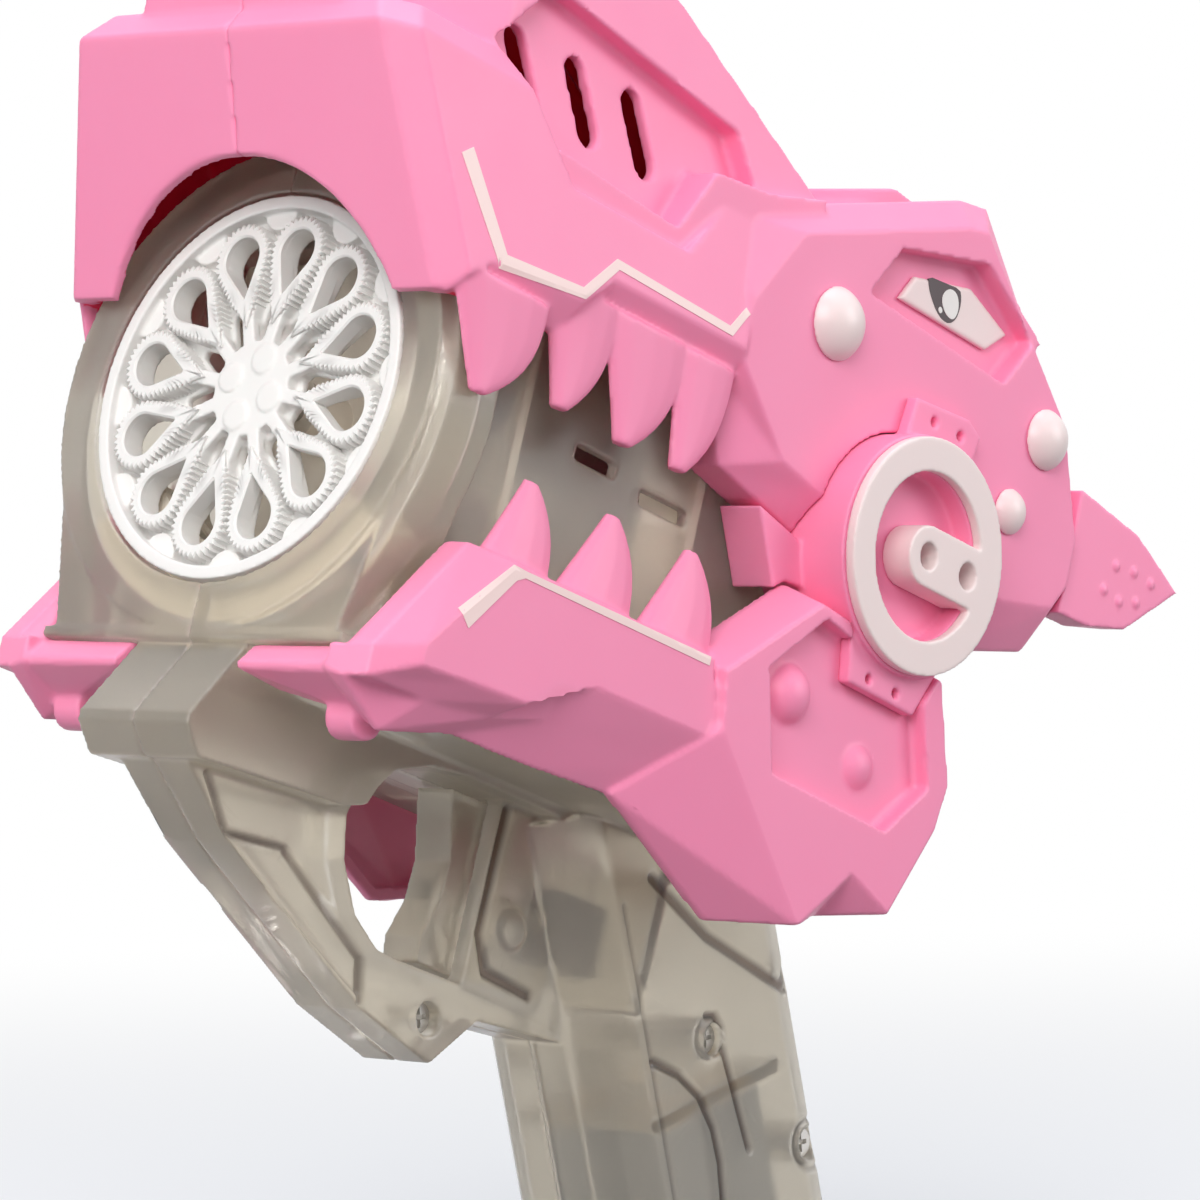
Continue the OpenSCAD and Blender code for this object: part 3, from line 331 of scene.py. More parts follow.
def place_piece(mesh: bpy.types.Mesh, name: str, finish: Finish, body: Body,
                *nodes: str) -> bpy.types.Object:
    """Puts a finished mesh into the scene on its body.

    Args:
        mesh: Mesh in packed metres.
        name: Name of the piece.
        finish: Its finish.
        body: Body that it rides on.
        nodes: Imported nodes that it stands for.

    Returns:
        The piece.
    """
    mesh.name = name
    mesh.materials.clear()
    mesh.materials.append(finish.material())
    piece = bpy.data.objects.new(name, mesh)
    bpy.context.scene.collection.objects.link(piece)
    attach(piece, body.value)
    if nodes:
        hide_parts(*nodes)
    return piece


def baked(bench: bpy.types.Object) -> bpy.types.Mesh:
    """Plain mesh that an object's modifiers make.

    Args:
        bench: Object with its modifiers, removed afterwards with its own mesh.

    Returns:
        The new mesh.
    """
    source = bench.data
    bpy.context.scene.collection.objects.link(bench)
    graph = bpy.context.evaluated_depsgraph_get()
    result = bpy.data.meshes.new_from_object(bench.evaluated_get(graph))
    bench.modifiers.clear()
    bpy.data.objects.remove(bench)
    bpy.data.meshes.remove(source)
    return result


def evaluated(mesh: bpy.types.Mesh, *modifiers: tuple[str, dict]) -> bpy.types.Mesh:
    """Runs modifiers over a mesh.

    Args:
        mesh: Mesh to change, removed afterwards.
        modifiers: Type name and settings of each modifier.

    Returns:
        The new plain mesh.
    """
    bench = bpy.data.objects.new("bench", mesh)
    for kind, settings in modifiers:
        modifier = bench.modifiers.new(kind.lower(), kind)
        for name, value in settings.items():
            setattr(modifier, name, value)
    return baked(bench)


def mesh_from(points: Sequence[Place], faces: Sequence[tuple[int, ...]],
              place: Matrix) -> bpy.types.Mesh:
    """Closed flat-shaded mesh with its faces turned outward.

    Args:
        points: Vertices.
        faces: Vertex numbers of each face.
        place: Where the vertices go.

    Returns:
        The mesh.
    """
    mesh = bpy.data.meshes.new("part")
    mesh.from_pydata(points, [], faces)
    mesh.transform(place)
    work = bmesh.new()
    work.from_mesh(mesh)
    bmesh.ops.recalc_face_normals(work, faces=work.faces)
    work.to_mesh(mesh)
    work.free()
    return mesh


def wall_tree(mesh: bpy.types.Mesh) -> BVHTree:
    """Search tree of a mesh, to cast rays at its walls."""
    return BVHTree.FromPolygons([v.co for v in mesh.vertices], [f.vertices for f in mesh.polygons])


def flattened(mesh: bpy.types.Mesh) -> bpy.types.Mesh:
    """The mesh with normals that follow its large faces, so that flat walls look flat."""
    return evaluated(mesh, ("WEIGHTED_NORMAL", {"mode": "FACE_AREA"}))


def mirrored(mesh: bpy.types.Mesh) -> bpy.types.Mesh:
    """The other side's copy of a mesh, faces outward.

    Args:
        mesh: Mesh of the left piece.

    Returns:
        Mesh of the right piece.
    """
    copy = mesh.copy()
    normals = copy.attributes.get("custom_normal")
    if normals is not None:
        copy.attributes.remove(normals)
    copy.transform(Matrix.Scale(-1, 4, ACROSS))
    copy.flip_normals()
    return flattened(copy) if normals is not None else copy


@dataclass(frozen=True)
class Press:
    """A line or spot pressed into a side wall, or raised from it where depth is negative.

    A path of one point is a spot whose width is its diameter.
    """

    path: tuple[Flat, ...]
    width: float
    depth: float
    reach: tuple[float, float] = (5.0, 60.0)
    soft: float = 0.5

    def share(self, x: np.ndarray, z: np.ndarray) -> np.ndarray:
        """How much of the depth each point takes.

        Args:
            x: Places along the barrel.
            z: Places across it.

        Returns:
            Shares from 0 to 1.
        """
        away = np.full(len(x), np.inf)
        starts = self.path[:-1] or self.path
        for (ax, az), (bx, bz) in zip(starts, self.path[1:] or self.path):
            dx, dz = bx - ax, bz - az
            run = dx * dx + dz * dz or 1.0
            t = np.clip(((x - ax) * dx + (z - az) * dz) / run, 0, 1)
            away = np.minimum(away, np.hypot(x - ax - t * dx, z - az - t * dz))
        t = np.clip((self.width / 2 + self.soft - away) / (2 * self.soft), 0, 1)
        return t * t * (3 - 2 * t)


@dataclass(frozen=True)
class Moulding:
    """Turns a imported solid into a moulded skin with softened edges.

    Walls that face sideways by more than facing take the presses, and a ray starts at the clear
    distance from the wall that it leaves.
    """

    voxel: float = 0.5
    steps: int = 3
    keep: float = 0.3
    flat: bool = True
    facing: float = 0.35
    merge_m: float = 2e-6
    clear: float = 0.3

    def skin(self, source: bpy.types.Object, frame: BarrelFrame, presses: Sequence[Press] = (),
             sides: Sequence[Side] = (Side.LEFT,)) -> bpy.types.Mesh:
        """Makes the skin.

        Args:
            source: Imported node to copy.
            frame: The barrel's frame.
            presses: Lines and spots to press into the walls.
            sides: Sides whose walls are pressed.

        Returns:
            The skin's mesh, smoothly shaded.
        """
        work = bmesh.new()
        work.from_mesh(source.data)
        bmesh.ops.remove_doubles(work, verts=work.verts, dist=self.merge_m)
        mesh = bpy.data.meshes.new("skin")
        work.to_mesh(mesh)
        work.free()
        cell = self.voxel * 1.0 * MM
        mesh = evaluated(mesh, ("REMESH", {"mode": "VOXEL", "voxel_size": cell}),
                         ("SMOOTH", {"factor": 0.5, "iterations": self.steps}))
        for side in sides:
            flat = np.empty(len(mesh.vertices) * 3)
            mesh.vertices.foreach_get("co", flat)
            flat[1::3] -= self.depths(mesh, frame, presses, side) * side.value * MM
            mesh.vertices.foreach_set("co", flat)
            mesh.update()
        mesh = evaluated(mesh, ("DECIMATE", {"ratio": self.keep}))
        mesh.shade_smooth()
        if self.flat:
            mesh = flattened(mesh)
        # The cut grooves' depth shares mark where painted shade goes.
        if presses:
            cuts = [press for press in presses if press.depth > 0]
            groove_shade = sum(self.depths(mesh, frame, cuts, side) for side in sides)
            self.mark(mesh, np.clip(groove_shade / max(press.depth for press in presses), 0, 1))
        return mesh

    @staticmethod
    def mark(mesh: bpy.types.Mesh, shares: np.ndarray) -> None:
        """Keeps each vertex's share of the painted shade colour with the mesh."""
        crease = mesh.attributes.new(PAINTED_SHADE_ATTR, "FLOAT", "POINT")
        crease.data.foreach_set("value", shares)

    def shade_inside(self, mesh: bpy.types.Mesh, frame: BarrelFrame) -> None:
        """Marks painted shade on a left shell's inner walls, which have the shell above, before and
        beside them.

        Args:
            mesh: Skin of the left shell.
            frame: The barrel's frame.
        """
        tree = wall_tree(mesh)
        ways = [frame.vector(*way) for way in ((0, -1, 0), (0, 0, 1), (-1, 0, 0))]
        inside = []
        for vertex in mesh.vertices:
            start = vertex.co + vertex.normal * MM * self.clear
            inside.append(all(tree.ray_cast(start, way)[0] is not None for way in ways))
        self.mark(mesh, np.array(inside, float))

    def depths(self, mesh: bpy.types.Mesh, frame: BarrelFrame, presses: Sequence[Press],
               side: Side) -> np.ndarray:
        """How far each point of one side's outer walls is pressed in.

        Args:
            mesh: Mesh to press.
            frame: The barrel's frame.
            presses: What to press.
            side: Side whose walls take it.

        Returns:
            One depth for each vertex, in millimetres.
        """
        points = frame.coordinates(mesh)
        normals = np.empty(len(mesh.vertices) * 3)
        mesh.vertices.foreach_get("normal", normals)
        outward = normals.reshape(-1, 3)[:, 1] * side.value > self.facing
        out = points[:, 1] * side.value
        shift = np.zeros(len(points))
        for item in presses:
            near = outward & (out > item.reach[0]) & (out < item.reach[1])
            shift[near] += item.depth * item.share(points[near, 0], points[near, 2])
        return shift


@dataclass(frozen=True)
class Ribbon:
    """A printed stripe laid on a side wall along a flat path."""

    path: tuple[Flat, ...]
    widths: tuple[float, ...]
    rise: float = 0.12
    sink: float = 0.25
    step: float = 1.2
    across: int = 4
    cast_y: float = -80.0

    def edges(self) -> tuple[list[Vector], list[Vector]]:
        """Mitred edge points on both sides of the path.

        Returns:
            Points of one edge and of the other.
        """
        near: list[Vector] = []
        far: list[Vector] = []
        points = [Vector(p) for p in self.path]
        for i, here in enumerate(points):
            before = (here - points[i - 1]).normalized() if i else None
            after = (points[i + 1] - here).normalized() if i + 1 < len(points) else None
            a, b = before or after, after or before
            na, nb = Vector((-a.y, a.x)), Vector((-b.y, b.x))
            mitre = (na + nb) / (1 + na.dot(nb)) * self.widths[i] / 2
            near.append(here + mitre)
            far.append(here - mitre)
        return near, far

    def mesh(self, wall: bpy.types.Mesh, frame: BarrelFrame) -> bpy.types.Mesh:
        """Lays the stripe on the left side of a wall.

        Args:
            wall: Skin that carries the stripe.
            frame: The barrel's frame.

        Returns:
            A thin closed mesh.
        """
        tree = wall_tree(wall)
        near, far = self.edges()
        rows: list[tuple[Vector, Vector]] = []
        for i in range(len(near) - 1):
            count = max(2, round((near[i + 1] - near[i]).length / self.step))
            last = i == len(near) - 2
            rows += [(near[i].lerp(near[i + 1], k / count), far[i].lerp(far[i + 1], k / count))
                     for k in range(count + 1 if last else count)]
        across = self.across
        points: list[Place] = []
        depth = 0.0
        for shift in (-self.rise, self.sink):
            for a, b in rows:
                for k in range(across):
                    p = a.lerp(b, k / (across - 1))
                    hit = tree.ray_cast(frame.point(p.x, self.cast_y, p.y), ACROSS)[0]
                    depth = hit.y / MM if hit is not None else depth
                    points.append((p.x, depth + shift, p.y))
        n = len(rows)
        top = [[r * across + k for k in range(across)] for r in range(n)]
        low = [[i + n * across for i in row] for row in top]
        faces = []
        for r in range(n - 1):
            for k in range(across - 1):
                faces.append((top[r][k], top[r][k + 1], top[r + 1][k + 1], top[r + 1][k]))
                faces.append((low[r][k], low[r + 1][k], low[r + 1][k + 1], low[r][k + 1]))
            for k in (0, across - 1):
                faces.append((top[r][k], top[r + 1][k], low[r + 1][k], low[r][k]))
        for r in (0, n - 1):
            faces += [(top[r][k], top[r][k + 1], low[r][k + 1], low[r][k])
                      for k in range(across - 1)]
        return mesh_from(points, faces, frame.matrix())


def slab(outline: Sequence[Flat], y0: float, y1: float, frame: BarrelFrame) -> bpy.types.Mesh:
    """Thin closed plate from an x-z outline.

    Args:
        outline: Corners in the barrel frame.
        y0: One face.
        y1: The other face.
        frame: The barrel's frame.

    Returns:
        The plate's mesh.
    """
    n = len(outline)
    points = [(x, y, z) for y in (y0, y1) for x, z in outline]
    faces = [tuple(range(n)), tuple(range(2 * n - 1, n - 1, -1))]
    faces += [(i, (i + 1) % n, n + (i + 1) % n, n + i) for i in range(n)]
    return mesh_from(points, faces, frame.matrix())


def rounded(outline: Sequence[Flat], rounds: int = 2) -> list[Flat]:
    """Corner-cut copy of a closed outline.

    Args:
        outline: Corners.
        rounds: How often corners are cut.

    Returns:
        The smoother outline.
    """
    points = list(outline)
    for _ in range(rounds):
        points = [q for a, b in zip(points, points[1:] + points[:1])
                  for q in ((0.75 * a[0] + 0.25 * b[0], 0.75 * a[1] + 0.25 * b[1]),
                            (0.25 * a[0] + 0.75 * b[0], 0.25 * a[1] + 0.75 * b[1]))]
    return points


class Rule:
    """A geometry tree with named inputs that makes a repeated form."""

    def __init__(self, name: str, inputs: Sequence[tuple[str, str]]) -> None:
        """Starts the tree with its inputs.

        Args:
            name: Name of the tree.
            inputs: Name and socket type of each input after the geometry.
        """
        self.tree = bpy.data.node_groups.new(name, "GeometryNodeTree")
        face = self.tree.interface
        face.new_socket("Geometry", in_out="INPUT", socket_type="NodeSocketGeometry")
        for label, kind in inputs:
            face.new_socket(label, in_out="INPUT", socket_type=kind)
        face.new_socket("Geometry", in_out="OUTPUT", socket_type="NodeSocketGeometry")
        self.bench = NodeBench(self.tree)
        self.start = self.bench.add("NodeGroupInput")

    def close(self, shape: bpy.types.NodeSocket) -> None:
        """Ends the tree in plain geometry with its material.

        Args:
            shape: What the tree has made.
        """
        real = self.bench.add("GeometryNodeRealizeInstances", {"Geometry": shape})
        paint = self.bench.add("GeometryNodeSetMaterial", {
            "Geometry": real.outputs["Geometry"], "Material": self.start.outputs["Material"]})
        self.bench.add("NodeGroupOutput", {"Geometry": paint.outputs["Geometry"]})

    def make(self, base: bpy.types.Mesh, values: dict[str, object]) -> bpy.types.Mesh:
        """Runs the tree.

        Args:
            base: Mesh that the tree starts from, removed afterwards.
            values: Value of each named input.

        Returns:
            The plain mesh.
        """
        bench = bpy.data.objects.new("bench", base)
        modifier = bench.modifiers.new("rule", "NODES")
        modifier.node_group = self.tree
        for item in self.tree.interface.items_tree:
            if item.in_out == "INPUT" and item.name in values:
                modifier[item.identifier] = values[item.name]
        return baked(bench)


class RingRule(Rule):
    """Copies of one form set evenly round the barrel's axis."""

    def __init__(self) -> None:
        """Builds the tree: turned copies on points that share the axis."""
        super().__init__("ring_of_copies", [
            ("Copies", "NodeSocketInt"), ("First Angle", "NodeSocketFloat"),
            ("Material", "NodeSocketMaterial")])
        b, given = self.bench, self.start.outputs
        posts = b.add("GeometryNodePoints", {"Count": given["Copies"]})
        index = b.add("GeometryNodeInputIndex").outputs["Index"]
        share = b.add("ShaderNodeMath", {0: index, 1: given["Copies"]}, operation="DIVIDE")
        angle = b.add("ShaderNodeMath", {
            0: share.outputs["Value"], 1: 2 * math.pi, 2: given["First Angle"]},
            operation="MULTIPLY_ADD")
        euler = b.add("ShaderNodeCombineXYZ", {"X": angle.outputs["Value"]})
        turn = b.add("FunctionNodeEulerToRotation", {"Euler": euler.outputs["Vector"]})
        ring = b.add("GeometryNodeInstanceOnPoints", {
            "Points": posts.outputs["Points"], "Instance": given["Geometry"],
            "Rotation": turn.outputs["Rotation"]})
        self.close(ring.outputs["Instances"])


class ScrewRule(Rule):
    """Pan-head screws with a cross recess, heads towards the toy's left."""

    HEAD_SIDES = 32
    SHANK_SIDES = 20
    CROSS_TURN = 0.4

    def __init__(self) -> None:
        """Builds the tree: head less its cross, shank, copies on the points."""
        super().__init__("cross_screws", [
            ("Head Radius", "NodeSocketFloat"), ("Head Height", "NodeSocketFloat"),
            ("Shank Radius", "NodeSocketFloat"), ("Shank Length", "NodeSocketFloat"),
            ("Slot Size", "NodeSocketVector"), ("Material", "NodeSocketMaterial")])
        b, given = self.bench, self.start.outputs
        head = self.rod(given["Head Radius"], given["Head Height"], self.HEAD_SIDES)
        cut = b.add("GeometryNodeMeshBoolean", {
            "Mesh 1": self.moved(head, given["Head Height"], 0.5)},
            operation="DIFFERENCE", solver="EXACT")
        bar = b.add("GeometryNodeMeshCube", {"Size": given["Slot Size"]})
        for quarter in (0.0, math.pi / 2):
            turn = b.add("GeometryNodeTransform", {
                "Geometry": bar.outputs["Mesh"], "Rotation": (0, 0, quarter + self.CROSS_TURN)})
            at_top = self.moved(turn.outputs["Geometry"], given["Head Height"], 1.0)
            b.wire(at_top, cut.inputs["Mesh 2"])
        rod = self.rod(given["Shank Radius"], given["Shank Length"], self.SHANK_SIDES)
        one = b.add("GeometryNodeJoinGeometry", {"Geometry": cut.outputs["Mesh"]})
        b.wire(self.moved(rod, given["Shank Length"], -0.5), one.inputs["Geometry"])
        turned = b.add("GeometryNodeTransform", {
            "Geometry": one.outputs["Geometry"], "Rotation": (math.pi / 2, 0, 0)})
        copies = b.add("GeometryNodeInstanceOnPoints", {
            "Points": given["Geometry"], "Instance": turned.outputs["Geometry"]})
        self.close(copies.outputs["Instances"])

    def rod(self, radius: bpy.types.NodeSocket, length: bpy.types.NodeSocket,
            sides: int) -> bpy.types.NodeSocket:
        """Upright rod about the origin.

        Args:
            radius: Its radius.
            length: Its length.
            sides: Sides of its round.

        Returns:
            The rod.
        """
        node = self.bench.add("GeometryNodeMeshCylinder", {
            "Vertices": sides, "Radius": radius, "Depth": length})
        return node.outputs["Mesh"]

    def moved(self, shape: bpy.types.NodeSocket, length: bpy.types.NodeSocket,
              share: float) -> bpy.types.NodeSocket:
        """The shape moved up by a share of a length.

        Args:
            shape: What moves.
            length: The whole length.
            share: How much of it the shape moves.

        Returns:
            The moved shape.
        """
        times = self.bench.add("ShaderNodeMath", {0: length, 1: share}, operation="MULTIPLY")
        lift = self.bench.add("ShaderNodeCombineXYZ", {"Z": times.outputs["Value"]})
        move = self.bench.add("GeometryNodeTransform", {
            "Geometry": shape, "Translation": lift.outputs["Vector"]})
        return move.outputs["Geometry"]


@dataclass
class Assembly:
    """Base of the sub-assemblies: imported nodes, the barrel's frame and the pieces made so far."""

    nodes: dict[str, bpy.types.Object]
    frame: BarrelFrame
    pieces: list[bpy.types.Object] = field(default_factory=list)

    def add(self, mesh: bpy.types.Mesh, name: str, finish: Finish, body: Body,
            *nodes: str) -> None:
        """Places a piece and keeps it."""
        self.pieces.append(place_piece(mesh, name, finish, body, *nodes))

    def add_pair(self, mesh: bpy.types.Mesh, name: str, finish: Finish, node: str = "") -> None:
        """Places a left piece and its mirrored right copy on the housing.

        Args:
            mesh: Mesh of the left piece.
            name: Name of the pair.
            finish: Their finish.
            node: Node that they stand for, without its side.
        """
        other = mirrored(mesh)
        for side, shape in ((Side.LEFT, mesh), (Side.RIGHT, other)):
            stands_for = (side.node(node),) if node else ()
            self.add(shape, side.node(name), finish, Body.HOUSING, *stands_for)

    def add_skins(self, moulding: Moulding, node: str, name: str, finish: Finish,
                  presses: Sequence[Press] = ()) -> None:
        """Places the softened skin of a left node and its mirrored right copy.

        Args:
            moulding: How the skin is softened.
            node: Node that the pair stands for, without its side.
            name: Name of the pair.
            finish: Their finish.
            presses: Lines and spots to press into the walls.
        """
        left = self.nodes[Side.LEFT.node(node)]
        self.add_pair(moulding.skin(left, self.frame, presses), name, finish, node)

    def build(self) -> list[bpy.types.Object]:
        """Makes the sub-assembly's pieces."""
        raise NotImplementedError


@dataclass
class Head(Assembly):
    """Pink head shells with their printed stripe, studs, eyes and ear fins."""

    moulding: Moulding = Moulding()
    small: Moulding = Moulding(0.32, 3, 0.5)
    stripe: Ribbon = Ribbon(
        ((-4, 36.5), (6.6, 21.9), (26.3, 23.8), (33.8, 31.4), (63.2, 30.6), (67, 35.4)),
        (3.2, 2.6, 1.8, 1.6, 1.5, 1.3))
    eye_front: float = -38.0
    pupil: tuple[Flat, ...] = (
        (113.1, 58.2), (113.8, 56.4), (115.2, 54.8), (117.1, 53.2), (119, 52.4), (121, 52.4),
        (122.5, 53.7), (123, 55.8), (122.8, 57.6), (122, 59), (117.6, 58.6))
    pupil_faces: Flat = (-0.08, 0.3)
    shine: tuple[Flat, ...] = (
        (119.1, 58.2), (117.6, 56.6), (118, 54.9), (119.6, 53.5), (121.6, 53.2), (122.5, 54.6),
        (122.4, 56.5), (121.2, 58.1))
    glint: tuple[Flat, ...] = ((117.7, 54.5), (117.2, 53.7), (118, 53.1), (118.6, 53.8))
    shine_faces: Flat = (-0.16, 0.2)
    fin_spots: tuple[Flat, ...] = (
        (174.5, 22), (179, 21.2), (183.5, 22.4), (176.5, 27), (181.5, 27.4), (186.5, 26.8))
    fin_spot_d: float = 1.6
    fin_spot_h: float = 0.45
    fin_reach: Flat = (30, 60)

    def build(self) -> list[bpy.types.Object]:
        """Makes the head's pieces.

        Returns:
            The pieces.
        """
        skin = self.moulding.skin(self.nodes["head_shell_left"], self.frame)
        # The head's inner walls are marked for painted crimson shade.
        self.moulding.shade_inside(skin, self.frame)
        stripe = self.stripe.mesh(skin, self.frame)
        self.add_pair(skin, "head_skin", PINK, "head_shell")
        self.add_pair(stripe, "snout_stripe", PRINT)
        self.add_skins(self.small, "cheek_studs", "stud_domes", IVORY)
        bumps = [Press((spot,), self.fin_spot_d, -self.fin_spot_h, self.fin_reach, 0.4)
                 for spot in self.fin_spots]
        self.add_skins(self.small, "ear_fin", "ear_fin_skin", PINK, bumps)
        self.add_skins(self.small, "eye", "eye_white", IVORY)
        for name, outline, (front, back), finish in (
                ("eye_pupil", rounded(self.pupil, 1), self.pupil_faces, BLACK),
                ("eye_shine", rounded(self.shine), self.shine_faces, WHITE),
                ("eye_glint", rounded(self.glint), self.shine_faces, WHITE)):
            y0, y1 = self.eye_front + front, self.eye_front + back
            self.add_pair(slab(outline, y0, y1, self.frame), name, finish)
        return self.pieces


@dataclass
class Jaw(Assembly):
    """Pink jaws with their printed stripe."""

    moulding: Moulding = Moulding()
    stripe: Ribbon = Ribbon(((13.2, -33.8), (22.2, -23.6), (24.6, -23.2), (71, -22.9)),
                            (3.6, 2.4, 1.1, 1.5))

    def build(self) -> list[bpy.types.Object]:
        """Makes the jaws.

        Returns:
            The pieces.
        """
        skin = self.moulding.skin(self.nodes["jaw_left"], self.frame)
        stripe = self.stripe.mesh(skin, self.frame)
        self.add_pair(skin, "jaw_skin", PINK, "jaw")
        self.add_pair(stripe, "jaw_stripe", PRINT)
        return self.pieces


@dataclass
class Pivot(Assembly):
    """Round pink bosses with their white rings."""

    moulding: Moulding = Moulding(0.34, 3, 0.4)

    def build(self) -> list[bpy.types.Object]:
        """Makes the bosses and rings.

        Returns:
            The pieces.
        """
        self.add_skins(self.moulding, "pivot_boss", "boss_skin", PINK)
        self.add_skins(self.moulding, "pivot_ring", "ring_skin", IVORY)
        return self.pieces


@dataclass
class SmokyBody(Assembly):
    """Smoky clear body shells with their pressed lines, the trigger, socket and door."""

    moulding: Moulding = Moulding(0.45, 3, 0.24, False)
    small: Moulding = Moulding(0.36, 3, 0.4, False)
    lines: tuple[Press, ...] = (
        Press(((100, -52.2), (116.6, -57.7), (138.6, -60.7), (138.2, -55)), 2.0, 0.8),
        Press(((120.6, -70.4), (122.8, -69.8), (124.9, -71.2), (125.8, -73.6), (127.8, -76),
               (138.5, -89)), 1.4, 0.8),
        Press(((122, -73.2),), 4.6, -0.35, soft=0.8),
        Press(((110, -81.2), (117, -81.6), (123, -83.6), (128.4, -88), (132, -93), (135, -99.5),
               (136.6, -108)), 1.5, 0.8),
        Press(((94.6, -58.4), (122, -101), (135.4, -122)), 0.8, 0.5, (10, 30), 0.4),
        Press(((71.6, -49), (71.4, -70), (74.6, -75.6), (86, -76.6)), 1.8, 0.8, (5, 12)),
        Press(((78.6, -67.4),), 6.4, -0.6, (5, 12), 0.8),
        Press(((3.5, -62.5), (10.3, -70.2), (23.8, -69), (46.3, -80.8), (48, -87.5)), 1.1, 0.7,
              (5, 9), 0.4),
    )
    ring_at: Flat = (154.1, -84.3)
    ring_r: float = 4.4
    ring_width: float = 0.9
    ring_depth: float = 0.45
    ring_steps: int = 20

    def build(self) -> list[bpy.types.Object]:
        """Makes the smoky pieces.

        Returns:
            The pieces.
        """
        (x, z), r = self.ring_at, self.ring_r
        turns = [2 * math.pi * i / self.ring_steps for i in range(self.ring_steps + 1)]
        circle = tuple((x + r * math.cos(turn), z + r * math.sin(turn)) for turn in turns)
        lines = (*self.lines, Press(circle, self.ring_width, self.ring_depth))
        for side in Side:
            node = side.node("body_shell")
            # Its pressed lines also carry painted shade from the smoky finish.
            skin = self.moulding.skin(self.nodes[node], self.frame, lines, (side,))
            self.add(skin, side.node("body_skin"), SMOKE, Body.HOUSING, node)
        for node, body in (("trigger", Body.TRIGGER), ("bottle_socket", Body.HOUSING),
                           ("battery_door", Body.HOUSING)):
            skin = self.small.skin(self.nodes[node], self.frame)
            self.add(skin, f"{node}_skin", SMOKE, body, node)
        return self.pieces


@dataclass
class BubbleWheel(Assembly):
    """White bubble wheel with serrated loops.

    The teeth stand on a wall that is pulled in by wall_in. They start at tooth_start from the
    loops' tails and reach their full height over tooth_fade.
    """

    moulding: Moulding = Moulding(0.3, 3, 0.45, False)
    loops: int = 12
    first_angle: float = math.radians(10)
    width: float = 11.0
    tail_r: float = 10.0
    eye_r: float = 15.6
    out_r: float = 28.6
    wire: float = 1.9
    tooth: float = 0.8
    pitch: float = 1.1
    front: float = 0.25
    back: float = 3.4
    soft: float = 0.3
    wall_in: float = 0.4
    tail_gap: float = 0.6
    tail_open: float = 0.04
    tooth_start: float = 2.5
    tooth_fade: float = 3.0

    def outline(self, inward: float, tail: float) -> list[tuple[Vector, Vector]]:
        """Teardrop outline of one loop, round end up, pulled in by a distance.

        Args:
            inward: How far the round end is pulled in.
            tail: Distance of the narrow end from the wheel's middle.

        Returns:
            Places and outward directions, as many for each outline.
        """
        r = self.width / 2 - inward
        middle = self.out_r - self.width / 2
        a = math.asin(r / (middle - tail))
        leg = 2 * round((middle - self.tail_r) / self.pitch / 2) * 2
        arc = 2 * round(self.width * math.pi / 3 / self.pitch) * 2
        half = []
        side = Vector((math.cos(a), -math.sin(a)))
        for i in range(leg):
            end = Vector((0, middle)) + side * r
            half.append((Vector((0, tail)).lerp(end, (i + self.tail_open) / leg), side))
        for i in range(arc // 2 + 1):
            b = -a + (math.pi / 2 + a) * i / (arc // 2)
            way = Vector((math.cos(b), math.sin(b)))
            half.append((Vector((0, middle)) + way * r, way))
        flip = Matrix(((-1, 0), (0, 1)))
        return half + [(flip @ p, flip @ n) for p, n in reversed(half[:-1])]

    def loop(self) -> bpy.types.Mesh:
        """One loop with a smooth eye and a serrated outer wall.

        Returns:
            The loop's closed mesh, in millimetres.
        """
        outer = self.outline(self.wall_in, self.tail_r + self.tail_gap)
        inner = self.outline(self.wire, self.eye_r)
        points: list[Place] = []
        for i, ((p, n), (q, m)) in enumerate(zip(outer, inner)):
            share = (p.y - self.tail_r - self.tooth_start) / self.tooth_fade
            edge = p + n * (self.tooth * min(1.0, max(0.0, share)) if i % 2 else 0)
            section = ((self.back, edge), (self.front + self.soft, edge),
                       (self.front, edge - n * self.soft), (self.front, q + m * self.soft),
                       (self.front + self.soft, q), (self.back, q))
            points += [(x, v.x, v.y) for x, v in section]
        corners = len(section)
        faces = []
        for here in range(0, len(points), corners):
            after = (here + corners) % len(points)
            for k in range(corners):
                turn = (k + 1) % corners
                faces.append((here + k, here + turn, after + turn, after + k))
        return mesh_from(points, faces, Matrix.Identity(4))

    def build(self) -> list[bpy.types.Object]:
        """Makes the wheel's disc and its loops.

        Returns:
            The pieces.
        """
        disc = self.moulding.skin(self.nodes["bubble_wheel"], self.frame)
        self.add(disc, "wheel_disc", WHITE, Body.WHEEL, "bubble_wheel")
        loops = RingRule().make(self.loop(), {
            "Copies": self.loops, "First Angle": self.first_angle, "Material": WHITE.material()})
        loops.transform(self.frame.matrix())
        self.add(loops, "wheel_loops", WHITE, Body.WHEEL)
        return self.pieces


